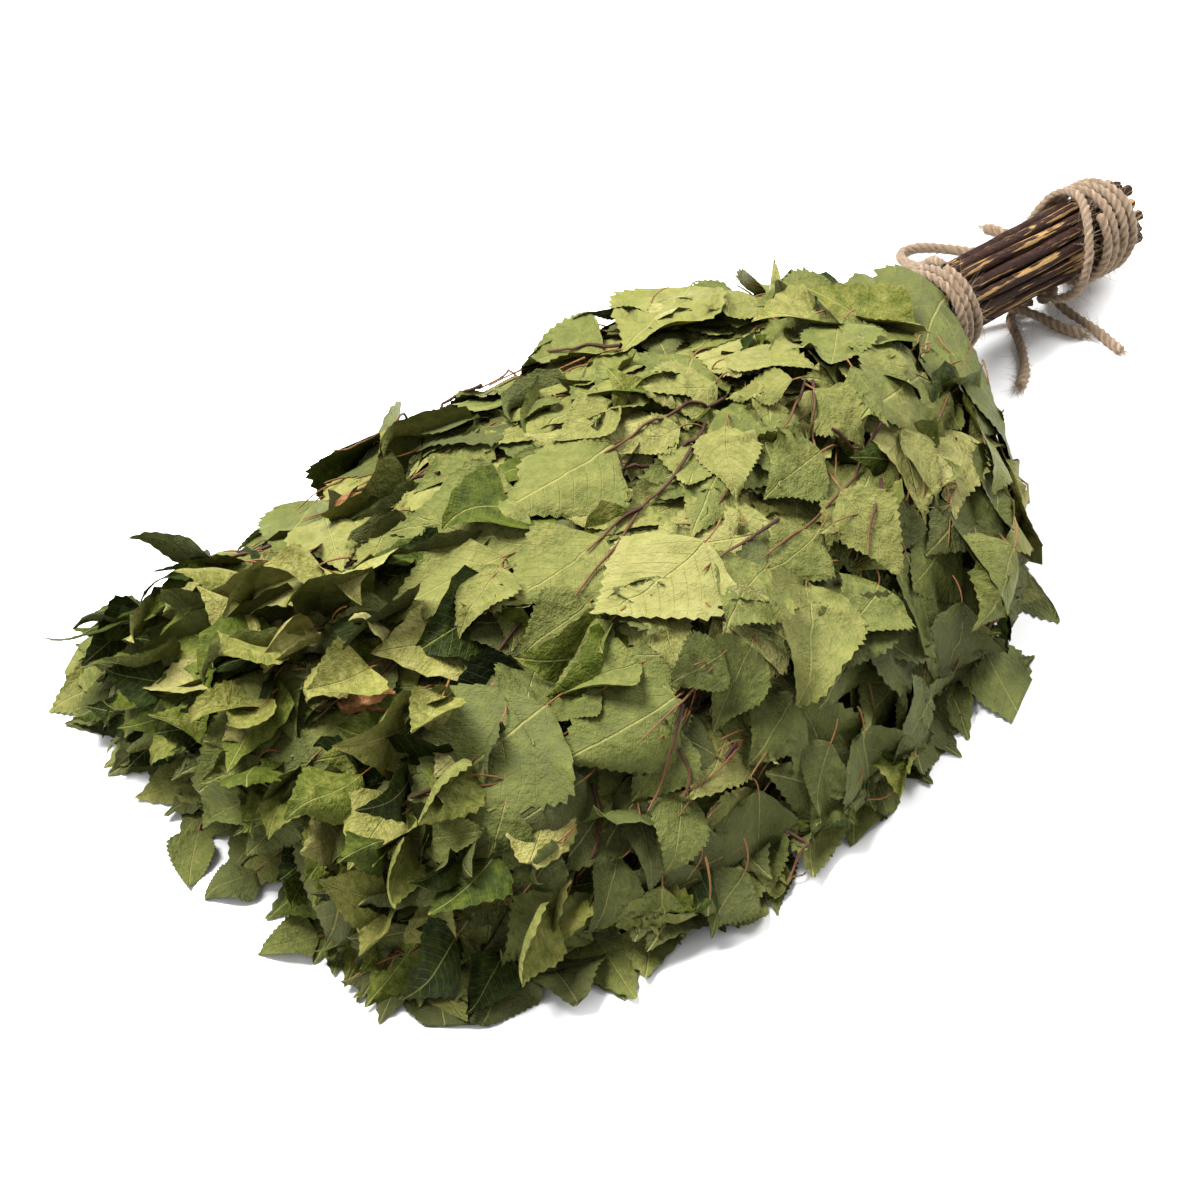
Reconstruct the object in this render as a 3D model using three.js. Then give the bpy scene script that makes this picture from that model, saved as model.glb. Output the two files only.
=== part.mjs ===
// A dried birch sauna whisk lying on a table: leafy branches bundled at the stripped stems, which are the
// handle, and bound twice with jute twine. Millimetres, +Z up, the table at z = 0, and +X along the whisk
// towards the cut ends of the stems. The origin is on the flat underside of the crown of leaves.
import * as THREE from "three";

// The space left between two pieces that touch.
const JOINT_GAP = 0.3;

// Driving dimensions of the handle.
const BUTT_X = 274;
const NECK_X = 150;
const STEM_TOP_X = 124;
const BUTT_Z = 31;
const NECK_Z = 44;
const STEM_RADIUS = 2.85;
const MIDDLE_STEM_RADIUS = 4;
const STEM_TAPER = 0.97;
const STEM_SIDES = 10;
const BUTT_FLARE = 1.06;
const BUTT_STAGGER = 8;
const STEM_RINGS = [
  { count: 1, radius: 0, cellShare: 0 },
  { count: 8, radius: 8.4, cellShare: 0.42 },
  { count: 15, radius: 14.9, cellShare: 0.79 },
];

// Driving dimensions of the twine.
const TWINE_RADIUS = 2.5;
const TWINE_SIDES = 8;
const BINDING_SIDES = 6;
const BINDING_STEPS_PER_TURN = 14;
const BINDING_CLEARANCE = 1.1;
const NECK_BINDING = { from: 139.5, to: 126.6, lean: 0, turns: 2.47, startAngle: 1.4, bundleRadius: 17.8 };
const BUTT_BINDING = { from: 232, to: 254, lean: 7, turns: 3.4, startAngle: 2.1, bundleRadius: 18.9 };
const KNOT_CENTRE = new THREE.Vector3(216, -1, 10);
const KNOT_HALF_SIZE = new THREE.Vector3(8, 7, 5.5);

// The loose twine: a strand from the neck that lies in a loop behind the handle, rises over the handle and
// ends in a knot under it, and four cut ends that lie on the table.
const LOOSE_TWINE = {
  twine_loop: [
    [139.5, 4.2, 66.2], [141, 11, 64], [145.5, 17.5, 58], [151, 24, 49.5], [158, 32, 39.5], [166, 42, 28.5],
    [174, 53, 18], [181, 64, 9.5], [187, 73, 4], [194, 77, 2.6], [203, 73, 2.6], [212, 63, 2.6],
    [219, 51.5, 3.4], [224, 43, 7], [227.5, 36, 14.5], [229.5, 30.5, 23.5], [230.8, 26.2, 31.5],
    [232.5, 23.1, 39.4], [236.5, 18, 50], [238.5, 9.9, 56], [236.3, 0, 58.3], [230, -9.7, 56.4],
    [223.5, -17.6, 51.1], [219.5, -22.4, 42.7], [217, -23.2, 32.9], [215, -21.2, 24], [213.3, -16.5, 17.5],
    [210.8, -8.8, 12.5],
  ],
  twine_tail_a: [
    [207.4, 0, 8.5], [203.5, 2.5, 6], [199.5, 4, 3.8], [195.5, 3.5, 2.6], [191, -1, 2.6], [186, -9, 2.6],
    [180, -18, 2.6], [173, -26, 2.6], [166, -32, 2.6], [158, -36.5, 2.6],
  ],
  twine_tail_b: [
    [126.5, -6.9, 26.2], [126.4, -2.8, 24.2], [127.5, 3, 20.2], [132.5, 9, 16.6], [142, 12.5, 14.6],
    [157, 13.5, 12.8], [174, 12.5, 11.2], [186, 8, 10.2], [195, 2, 9], [202, -7, 6], [206, -17, 3.4],
    [209, -25, 2.6], [212, -32, 2.6],
  ],
  twine_tail_c: [
    [215.5, -8.6, 8.5], [216.6, -13, 6], [218.2, -19, 3.6], [219.2, -27, 2.6], [218.5, -36, 2.6],
    [217, -45, 2.6], [216, -53, 2.6],
  ],
  twine_tail_d: [
    [247.1, -1.6, 11.4], [247.3, 8, 9], [247, 20, 5.4], [246, 33, 3], [244.8, 44, 2.6], [243.5, 50, 2.6],
    [241.5, 56, 2.6], [238.5, 62, 2.6],
  ],
};
const LOOSE_TWINE_STEP = 7.5;

// Driving dimensions of the crown: cross-sections from the neck to the tips of the leaves.
const CROWN_SECTIONS = [
  { x: 122, halfWidth: 22, height: 46, base: 23, centreY: 0 },
  { x: 104, halfWidth: 68, height: 70, base: 14, centreY: -5 },
  { x: 85, halfWidth: 104, height: 90, base: 4, centreY: -10 },
  { x: 40, halfWidth: 132, height: 107, base: 0, centreY: -14 },
  { x: -20, halfWidth: 152, height: 112, base: 0, centreY: -20 },
  { x: -95, halfWidth: 161, height: 112, base: 0, centreY: -26 },
  { x: -170, halfWidth: 162, height: 108, base: 0, centreY: -26 },
  { x: -240, halfWidth: 152, height: 98, base: 0, centreY: -20 },
  { x: -295, halfWidth: 132, height: 84, base: 0, centreY: -10 },
  { x: -330, halfWidth: 104, height: 66, base: 0, centreY: -4 },
];
const CROWN_START_X = 92;
const CROWN_END_X = -326;
const TIP_STAGGER = 34;

// The reference cross-section, a low loaf with a flat underside, in which each branch has its own cell.
const LOAF_HALF_WIDTH = 160;
const LOAF_HEIGHT = 110;
const LOAF_WIDTH_POWER = 0.8;
const LOAF_HEIGHT_POWER = 0.85;
const LOAF_ARC_POINTS = 24;
const LOAF_CENTRE = new THREE.Vector2(0, 46);
const FIRST_CELL_Y = 22;
const CELL_GAP = 3.2;

// The leaves of a spray are ledges like shingles, each with a pointed tip over the next one.
const SPRAY_SIDES = 10;
const OUTER_LEDGES = 7;
const INNER_LEDGES = 4;
const LEDGE_OVERHANG = 0.35;
const LEDGE_NOTCH = 0.92;
const SHARE_AT_START = 0.5;
const SHARE_UNDER_LEAF = 0.7;
const SHARE_AT_NOTCH = 0.86;

const barkMaterial = new THREE.MeshStandardMaterial({ color: 0x3b2620, roughness: 0.75, metalness: 0 });
const leafMaterial = new THREE.MeshStandardMaterial({ color: 0x6f7d3c, roughness: 0.8, metalness: 0 });
const twineMaterial = new THREE.MeshStandardMaterial({ color: 0xb08a5c, roughness: 0.95, metalness: 0 });

// A number from 0 to 1 that is always the same for the same two numbers.
function jitter(index, salt) {
  const wave = Math.sin(index * 12.9898 + salt * 78.233) * 43758.5453;
  return wave - Math.floor(wave);
}

function handleAxis(x) {
  return new THREE.Vector3(x, 0, THREE.MathUtils.mapLinear(x, NECK_X, BUTT_X, NECK_Z, BUTT_Z));
}

const UP_THE_CYLINDER = new THREE.Vector3(0, 1, 0);
const ACROSS = new THREE.Vector3(0, 1, 0);
const HANDLE_UP = handleAxis(BUTT_X).sub(handleAxis(NECK_X)).cross(ACROSS).normalize();

// The crown's cross-section at x, between the two sections beside it.
function crownSection(x) {
  const after = Math.max(1, CROWN_SECTIONS.findIndex((section) => section.x <= x));
  const [near, far] = [CROWN_SECTIONS[after - 1], CROWN_SECTIONS[after]];
  const mix = (key) => THREE.MathUtils.mapLinear(x, near.x, far.x, near[key], far[key]);
  return {
    halfWidth: mix("halfWidth"),
    height: mix("height"),
    base: mix("base"),
    centreY: mix("centreY"),
  };
}

// A point of the reference loaf, moved to the crown's own cross-section at x.
function crownPoint(x, loafPoint) {
  const section = crownSection(x);
  return new THREE.Vector3(
    x,
    section.centreY + (loafPoint.x / LOAF_HALF_WIDTH) * section.halfWidth,
    section.base + (loafPoint.y / LOAF_HEIGHT) * section.height,
  );
}

// The loaf's outline, anticlockwise from the first cell's place on the flat underside.
function loafOutline() {
  const points = [new THREE.Vector2(FIRST_CELL_Y, 0)];
  for (let i = 0; i <= LOAF_ARC_POINTS; i++) {
    const angle = (Math.PI * i) / LOAF_ARC_POINTS;
    const across = Math.sign(Math.cos(angle)) * Math.abs(Math.cos(angle)) ** LOAF_WIDTH_POWER;
    const upward = Math.max(0, Math.sin(angle)) ** LOAF_HEIGHT_POWER;
    points.push(new THREE.Vector2(LOAF_HALF_WIDTH * across, LOAF_HEIGHT * upward));
  }
  return points;
}

// Where the branches pass through the loaf: one in the middle, the others in rings inside the outline.
function cellSites() {
  const outline = new THREE.Shape(loafOutline()).closePath();
  return STEM_RINGS.flatMap((ring) =>
    outline
      .getSpacedPoints(ring.count)
      .slice(0, ring.count)
      .map((point) => point.sub(LOAF_CENTRE).multiplyScalar(ring.cellShare).add(LOAF_CENTRE)),
  );
}

// How far a cell reaches from its site in one direction, and whether the flat underside is what stops it.
function cellReach(site, sites, direction) {
  let distance = Infinity;
  for (const other of sites) {
    const between = other.clone().sub(site);
    const facing = direction.dot(between) / (between.length() || 1);
    if (facing > 1e-6) distance = Math.min(distance, (between.length() - CELL_GAP) / 2 / facing);
  }
  const outline = loafOutline();
  outline.forEach((from, i) => {
    const edge = outline[(i + 1) % outline.length].clone().sub(from);
    const crossing = direction.cross(edge);
    if (Math.abs(crossing) < 1e-9) return;
    const offset = from.clone().sub(site);
    const along = offset.cross(edge) / crossing;
    const onEdge = offset.cross(direction) / crossing;
    if (along > 0 && onEdge >= 0 && onEdge <= 1) distance = Math.min(distance, along);
  });
  const flat = direction.y < 0 && Math.abs(site.y + direction.y * distance) < 1e-6;
  return { distance, flat };
}

// A closed solid through rings of points that run towards -X, each anticlockwise seen from +X.
function loft(rings) {
  const sides = rings[0].length;
  const middle = (ring) => {
    const sum = ring.reduce((total, point) => total.add(point), new THREE.Vector3());
    return sum.divideScalar(sides);
  };
  const points = [...rings.flat(), middle(rings[0]), middle(rings.at(-1))];
  const [startCentre, endCentre] = [points.length - 2, points.length - 1];
  const lastRing = (rings.length - 1) * sides;
  const triangles = [];
  for (let side = 0; side < sides; side++) {
    const next = (side + 1) % sides;
    triangles.push(startCentre, side, next, endCentre, lastRing + next, lastRing + side);
    for (let ring = 0; ring < lastRing; ring += sides) {
      const [a, b, c, d] = [ring + side, ring + next, ring + sides + side, ring + sides + next];
      triangles.push(a, c, b, b, c, d);
    }
  }
  return new THREE.BufferGeometry().setFromPoints(points).setIndex(triangles);
}

function circleShape(radius, sides) {
  const corners = Array.from({ length: sides }, (_, i) => {
    const angle = (2 * Math.PI * i) / sides;
    return new THREE.Vector2(radius * Math.cos(angle), radius * Math.sin(angle));
  });
  return new THREE.Shape(corners);
}

function tube(path, radius, sides, steps) {
  const section = circleShape(radius, sides);
  return new THREE.ExtrudeGeometry(section, { extrudePath: path, steps, bevelEnabled: false });
}

// The places of the stems in the bundle, from the bottom of each ring round towards +Y.
function stemPlaces() {
  return STEM_RINGS.flatMap((ring) =>
    Array.from({ length: ring.count }, (_, i) => {
      const angle = (2 * Math.PI * i) / ring.count - Math.PI / 2;
      return new THREE.Vector3(0, Math.cos(angle), Math.sin(angle)).multiplyScalar(ring.radius);
    }),
  );
}

// A stem of the handle, from its cut end to where its leaves begin.
function stemMesh(place, radius, index) {
  const butt = handleAxis(BUTT_X - BUTT_STAGGER * jitter(index, 1)).addScaledVector(place, BUTT_FLARE);
  const top = handleAxis(STEM_TOP_X).add(place);
  const stem = new THREE.Mesh(
    new THREE.CylinderGeometry(radius, radius * STEM_TAPER, butt.distanceTo(top), STEM_SIDES),
    barkMaterial,
  );
  stem.position.lerpVectors(butt, top, 0.5);
  stem.quaternion.setFromUnitVectors(UP_THE_CYLINDER, butt.clone().sub(top).normalize());
  return stem;
}

// The leafy top of a branch: it starts on its stem and fills its own cell of the crown with ledges.
function sprayGeometry(site, sites, place, radius, ledges, index) {
  const outward = site.distanceTo(LOAF_CENTRE) > 1 ? site.clone().sub(LOAF_CENTRE).angle() : 0;
  const rays = Array.from({ length: SPRAY_SIDES }, (_, side) => {
    const angle = outward + (2 * Math.PI * side) / SPRAY_SIDES;
    const direction = new THREE.Vector2(Math.cos(angle), Math.sin(angle));
    return { direction, ...cellReach(site, sites, direction) };
  });
  rays.forEach((ray, side) => {
    const beside = [rays.at(side - 1), ray, rays[(side + 1) % SPRAY_SIDES]];
    ray.isTip = side % 2 === 0 && !beside.some((other) => other.flat);
  });
  const endX = CROWN_END_X + TIP_STAGGER * jitter(index, 2);
  const xAt = (ledge) => THREE.MathUtils.mapLinear(ledge, 0, ledges + LEDGE_OVERHANG, CROWN_START_X, endX);
  const ring = (place) =>
    rays.map((ray) => {
      const { ledge, share } = place(ray);
      const reach = ray.distance * (ray.flat ? 1 : share);
      return crownPoint(xAt(ledge), site.clone().addScaledVector(ray.direction, reach));
    });

  const stemTop = handleAxis(STEM_TOP_X - JOINT_GAP).add(place);
  const startRing = rays.map(({ direction }) => {
    const outOfStem = new THREE.Vector3(0, direction.x, 0).addScaledVector(HANDLE_UP, direction.y);
    return stemTop.clone().addScaledVector(outOfStem, radius);
  });
  const rings = [startRing];
  for (let ledge = 0; ledge < ledges; ledge++) {
    const shareUnder = ledge ? SHARE_UNDER_LEAF : SHARE_AT_START;
    rings.push(ring(() => ({ ledge, share: shareUnder })));
    rings.push(ring((ray) => {
      if (ray.flat) return { ledge: ledge + LEDGE_NOTCH, share: 1 };
      return ray.isTip
        ? { ledge: ledge + 1 + LEDGE_OVERHANG, share: 1 }
        : { ledge: ledge + LEDGE_NOTCH, share: SHARE_AT_NOTCH };
    }));
  }
  return loft(rings);
}

// Twine wound round the stems in a helix, which may lean towards the cut ends at the top.
class Winding extends THREE.Curve {
  constructor(binding) {
    super();
    this.binding = binding;
  }

  getPoint(share) {
    const { from, to, lean, turns, startAngle, bundleRadius } = this.binding;
    const radius = bundleRadius + TWINE_RADIUS + BINDING_CLEARANCE;
    const angle = startAngle + 2 * Math.PI * turns * share;
    return handleAxis(THREE.MathUtils.lerp(from, to, share) + lean * Math.sin(angle)).add(
      new THREE.Vector3(0, radius * Math.cos(angle), radius * Math.sin(angle)),
    );
  }
}

function bindingGeometry(binding) {
  const steps = Math.ceil(binding.turns * BINDING_STEPS_PER_TURN);
  return tube(new Winding(binding), TWINE_RADIUS, BINDING_SIDES, steps);
}

function looseTwineGeometry(route) {
  const path = new THREE.CatmullRomCurve3(route.map((point) => new THREE.Vector3(...point)));
  return tube(path, TWINE_RADIUS, TWINE_SIDES, Math.ceil(path.getLength() / LOOSE_TWINE_STEP));
}

function knotMesh() {
  const knot = new THREE.Mesh(new THREE.IcosahedronGeometry(1, 1), twineMaterial);
  knot.position.copy(KNOT_CENTRE);
  knot.scale.copy(KNOT_HALF_SIZE);
  return knot;
}

function addNamed(group, name, mesh) {
  mesh.name = name;
  group.add(mesh);
}

// Each branch is a bare stem in the handle and the spray of leaves at its top.
function branches() {
  const group = new THREE.Group();
  const sites = cellSites();
  stemPlaces().forEach((place, index) => {
    const number = String(index + 1).padStart(2, "0");
    const isOuter = index >= STEM_RINGS[0].count + STEM_RINGS[1].count;
    const radius = index === 0 ? MIDDLE_STEM_RADIUS : STEM_RADIUS;
    const ledges = isOuter ? OUTER_LEDGES : INNER_LEDGES;
    const spray = sprayGeometry(sites[index], sites, place, radius * STEM_TAPER, ledges, index);
    const branch = new THREE.Group();
    addNamed(branch, `stem_${number}`, stemMesh(place, radius, index));
    addNamed(branch, `leaf_spray_${number}`, new THREE.Mesh(spray, leafMaterial));
    group.add(branch);
  });
  return group;
}

function twine() {
  const group = new THREE.Group();
  addNamed(group, "neck_binding", new THREE.Mesh(bindingGeometry(NECK_BINDING), twineMaterial));
  addNamed(group, "butt_binding", new THREE.Mesh(bindingGeometry(BUTT_BINDING), twineMaterial));
  addNamed(group, "twine_knot", knotMesh());
  for (const [name, route] of Object.entries(LOOSE_TWINE)) {
    addNamed(group, name, new THREE.Mesh(looseTwineGeometry(route), twineMaterial));
  }
  return group;
}

const whisk = new THREE.Group();
whisk.add(branches(), twine());

export default whisk;
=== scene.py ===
"""A dried birch sauna whisk on a white table: leafy branches, a handle of bare stems and jute twine.

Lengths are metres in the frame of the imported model: +X towards the cut ends of the handle, +Z up and the
table at z = 0.
"""
import math
from collections import namedtuple

import bpy
import numpy as np
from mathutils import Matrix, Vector


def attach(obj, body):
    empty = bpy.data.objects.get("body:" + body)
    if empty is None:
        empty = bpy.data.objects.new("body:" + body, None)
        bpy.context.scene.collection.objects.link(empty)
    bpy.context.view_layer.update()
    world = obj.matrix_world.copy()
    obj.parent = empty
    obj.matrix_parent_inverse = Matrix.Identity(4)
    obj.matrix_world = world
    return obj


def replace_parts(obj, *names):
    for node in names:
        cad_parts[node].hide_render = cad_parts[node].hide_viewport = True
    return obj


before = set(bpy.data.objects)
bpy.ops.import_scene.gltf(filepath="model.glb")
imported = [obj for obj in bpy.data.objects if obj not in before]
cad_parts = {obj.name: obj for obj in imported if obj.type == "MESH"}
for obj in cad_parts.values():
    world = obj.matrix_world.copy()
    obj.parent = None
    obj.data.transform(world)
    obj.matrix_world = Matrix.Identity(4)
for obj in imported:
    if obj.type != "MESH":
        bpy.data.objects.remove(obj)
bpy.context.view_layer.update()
random = np.random.default_rng(41)

# The camera that the photograph's angle and framing give, for a square picture.
CAMERA_TARGET = Vector((-0.096, -0.003, 0.0))
CAMERA_AZIMUTH = math.radians(-42.7)
CAMERA_ELEVATION = math.radians(45.0)
CAMERA_DISTANCE = 1.5
CAMERA_SENSOR = 36.0
CAMERA_LENS = 96.45

# The twine: three plies, bindings wound round the handle, and loose strands through listed points.
# LYING is the height of the middle of a strand that lies on the table.
TWINE_RADIUS = 0.0025
TWINE_LAY = 0.0125
TWINE_STEP = 0.0012
TWINE_SIDES = 18
PLIES = 3
PLY_MIDDLE = 0.50
PLY_RADIUS = 0.50
GROOVE_FLOOR = 0.72
FRAY_SWELL = 0.28
FRAY_LENGTH = 0.030
BRUSH_FIBRES = 46
FIBRE_RADIUS = 0.00010
HANDLE_X = (0.150, 0.274)
HANDLE_Z = (0.044, 0.031)
BINDING_CLEARANCE = 0.0011
BINDING_WANDER = 0.0006
NECK_BINDING = {"start": 0.1395, "end": 0.1266, "lean": 0.0, "turns": 2.47, "angle": 1.4, "bundle": 0.0178}
BUTT_BINDING = {"start": 0.232, "end": 0.254, "lean": 0.007, "turns": 3.4, "angle": 2.1, "bundle": 0.0189}
KNOT_MIDDLE = (0.216, -0.001, 0.010)
LYING = 0.0026
LOOSE_TWINE = {
    "twine_loop": ("object", [
        (0.1395, 0.0042, 0.0662), (0.141, 0.011, 0.064), (0.1455, 0.0175, 0.058), (0.151, 0.024, 0.0495),
        (0.158, 0.032, 0.0395), (0.166, 0.042, 0.0285), (0.174, 0.053, 0.018), (0.181, 0.064, 0.0095),
        (0.187, 0.073, 0.004), (0.194, 0.077, LYING), (0.203, 0.073, LYING), (0.212, 0.063, LYING),
        (0.219, 0.0515, 0.0034), (0.224, 0.043, 0.007), (0.2275, 0.036, 0.0145), (0.2295, 0.0305, 0.0235),
        (0.2308, 0.0262, 0.0315), (0.2325, 0.0231, 0.0394), (0.2365, 0.018, 0.050), (0.2385, 0.0099, 0.056),
        (0.2363, 0.000, 0.0583), (0.230, -0.0097, 0.0564), (0.2235, -0.0176, 0.0511),
        (0.2195, -0.0224, 0.0427), (0.217, -0.0232, 0.0329), (0.215, -0.0212, 0.024),
        (0.2133, -0.0165, 0.0175), (0.2108, -0.0088, 0.0125),
    ]),
    "twine_tail_a": ("bare", [
        (0.2074, 0.000, 0.0085), (0.2035, 0.0025, 0.006), (0.1995, 0.004, 0.0038), (0.1955, 0.0035, LYING),
        (0.191, -0.001, LYING), (0.186, -0.009, LYING), (0.180, -0.018, LYING), (0.173, -0.026, LYING),
        (0.166, -0.032, LYING), (0.158, -0.0365, LYING),
    ]),
    "twine_tail_b": ("bare", [
        (0.1265, -0.0069, 0.0262), (0.1264, -0.0028, 0.0242), (0.1275, 0.003, 0.0202),
        (0.1325, 0.009, 0.0166), (0.142, 0.0125, 0.0146), (0.157, 0.0135, 0.0128), (0.174, 0.0125, 0.0112),
        (0.186, 0.008, 0.0102), (0.195, 0.002, 0.009), (0.202, -0.007, 0.006), (0.206, -0.017, 0.0034),
        (0.209, -0.025, LYING), (0.212, -0.032, LYING),
    ]),
    "twine_tail_c": ("bare", [
        (0.2155, -0.0086, 0.0085), (0.2166, -0.013, 0.006), (0.2182, -0.019, 0.0036), (0.2192, -0.027, LYING),
        (0.2185, -0.036, LYING), (0.217, -0.045, LYING), (0.216, -0.053, LYING),
    ]),
    "twine_tail_d": ("bare", [
        (0.2471, -0.0016, 0.0114), (0.2473, 0.008, 0.009), (0.247, 0.020, 0.0054), (0.246, 0.033, 0.003),
        (0.2448, 0.044, LYING), (0.2435, 0.050, LYING), (0.2415, 0.056, LYING), (0.2385, 0.062, LYING),
    ]),
}

# Stems: rings and sides, the length of a swelling as a share of the stem, and the rings of the cut end, which
# stand out by CUT_REACH and are CUT_WIDTH as wide as the stem.
STEM_RINGS = 48
STEM_SIDES = 18
SWELLING_LENGTH = 0.022
CUT_REACH = np.array([0.0002, 0.0004, 0.0004, 0.0005, 0.0006])
CUT_WIDTH = np.array([0.93, 0.86, 0.58, 0.30, 0.02])
CUT_SLANT = 0.30
CUT_ROUGHNESS = 0.00035
CUT_LIMITS = (-0.0025, 0.0015)
CUT_RINGS_MOVED = 3

# The crown of leaves: cross-sections from the tips of the leaves to the neck.
SECTION_X = np.array([-0.330, -0.295, -0.240, -0.170, -0.095, -0.020, 0.040, 0.085, 0.104, 0.122])
SECTION_HALF_WIDTH = np.array([0.104, 0.132, 0.152, 0.162, 0.161, 0.152, 0.132, 0.104, 0.068, 0.022])
SECTION_HEIGHT = np.array([0.066, 0.084, 0.098, 0.108, 0.112, 0.112, 0.107, 0.090, 0.070, 0.046])
SECTION_BASE = np.array([0.0, 0.0, 0.0, 0.0, 0.0, 0.0, 0.0, 0.004, 0.014, 0.023])
SECTION_MIDDLE = np.array([-0.004, -0.010, -0.020, -0.026, -0.026, -0.020, -0.014, -0.010, -0.005, 0.0])
SECTION_WIDTH_POWER = 0.8
SECTION_HEIGHT_POWER = 0.85
SKIN_DEPTH = 0.029
NECK_SKIN_DEPTH = 0.006
NECK_SKIN_X = (0.085, 0.122)

# The crown's surface is unrolled on a grid: x along the whisk, and the share of the way from +Y to -Y. Its
# foot runs out along the table, and is tucked in under the crown towards the neck.
SHEET_X = np.linspace(-0.375, 0.150, 330)
SHEET_SHARE = np.linspace(0.0, 1.0, 331)
TABLE_Y = (0.165, -0.225)
SKIRT_REACH = 0.034
SKIRT_CURVE = 0.012
TUCK_X = (0.02, 0.08)
TUCK_ANGLE = math.radians(125)
TABLE_GAP = 0.0006

# The lowest and highest corners for leaves laid by chance, and for those that the photograph shows.
LEAF_LIMITS = ((-0.331, -0.188, -1.0), (0.122, 0.137, 0.113))
SEEN_LIMITS = ((-0.345, -0.194, -1.0), (0.126, 0.139, 0.115))

# Leaves: the grid of one leaf, its outline from the stalk to the tip, and its teeth, as shares of its length.
LEAF_ROWS = 33
LEAF_COLUMNS = np.array([-1.0, -0.7, -0.35, 0.0, 0.35, 0.7, 1.0])
FOOT_LEAF_ROWS = 19
SMALL_LEAF_ROWS = 13
SMALL_LEAF_COLUMNS = np.array([-1.0, -0.5, 0.0, 0.5, 1.0])
OUTLINE_ALONG = [0.0, 0.06, 0.15, 0.27, 0.37, 0.55, 0.75, 0.90, 1.0]
OUTLINE_WIDTH = [0.03, 0.36, 0.76, 0.99, 0.98, 0.74, 0.38, 0.13, 0.01]
LEAF_THICKNESS = 0.00028
LEAF_GAP = 0.0006
REST_SHARE = 0.86
SINK_SHARE = 0.25
STEEPEST_REST = 0.45
TOOTH_HEIGHT = 0.017
TOOTH_LEAN = 0.012
STALK_POINTS = 6
STALK_SIDES = 5
STALK_RADIUS = 0.00048
STALK_LENGTH = 0.014
STALK_AHEAD = 0.03

# Twigs: the radii between which they turn from bark to the colour of a leaf stalk, and how much of that they
# and the stalks have.
STALK_COLOUR_RADIUS = (0.0009, 0.0003)
THIN_TWIG_COLOUR = 0.75
STALK_COLOUR = 0.9

# How leaves and shoots are shared out to the sprays: widths count for more than heights.
WIDTH_COUNTS = 1.4
SHOOT_SPREAD = 0.85

# How many of each, and the share of the leaves laid by chance that are brown all over. The brown leaves that
# the photograph shows are in the list further on.
FILL_LEAVES = 260
END_LEAVES = 150
SKIRT_LEAVES = 120
FLOOR_LEAVES = 40
SKIN_TWIGS = 60
BROWN_SHARE = 0.0

# Leaves laid over the crown by chance: the spacing of their places, their lengths, how they point, and the
# shares of them that are crumpled, underside up, raised at the tip or pointing anywhere.
SPOT_STEP = 0.0130
SPOT_WIDTH = 0.0195
SPOT_SHARES = (0.075, 0.925)
SKIN_LENGTH = 0.047
SKIN_LENGTH_SPREAD = 0.010
SKIN_LENGTH_LIMITS = (0.028, 0.072)
NECK_EXTRA_LENGTH = 0.009
DROOP_ANGLE = math.radians(46)
SKIN_HEADING_SPREAD = math.radians(38)
SKIN_CRUMPLED = 0.20
SKIN_TURNED = 0.34
SKIN_RAISED = 0.16
SKIN_ASTRAY = 0.10

# Leaves that stand out in the photograph, from the lowest laid to the topmost: how each looks, and the pixels
# where its stalk end and its tip are seen.
PHOTO_SIZE = 1200
PIXEL_TOLERANCE = 3.0
DEPTH_PER_PIXEL_MISSED = 0.1
LOOK_KEYS = ("tone", "age", "turned", "crumple")
LEAF_LOOKS = {
    "straw": {"tone": 0.80, "age": 0.05, "turned": False, "crumple": 0.08},
    "pale": {"tone": 0.68, "age": 0.05, "turned": False, "crumple": 0.10},
    "olive": {"tone": 0.50, "age": 0.10, "turned": False, "crumple": 0.14},
    "green": {"tone": 0.36, "age": 0.05, "turned": False, "crumple": 0.12},
    "dark": {"tone": 0.24, "age": 0.05, "turned": False, "crumple": 0.10},
    "under": {"tone": 0.55, "age": 0.05, "turned": True, "crumple": 0.10},
    "rolled": {"tone": 0.42, "age": 0.05, "turned": False, "crumple": 0.75},
    "patched": {"tone": 0.66, "age": 0.42, "turned": False, "crumple": 0.15},
    "brown": {"tone": 0.60, "age": 0.85, "turned": False, "crumple": 0.80},
}
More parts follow.
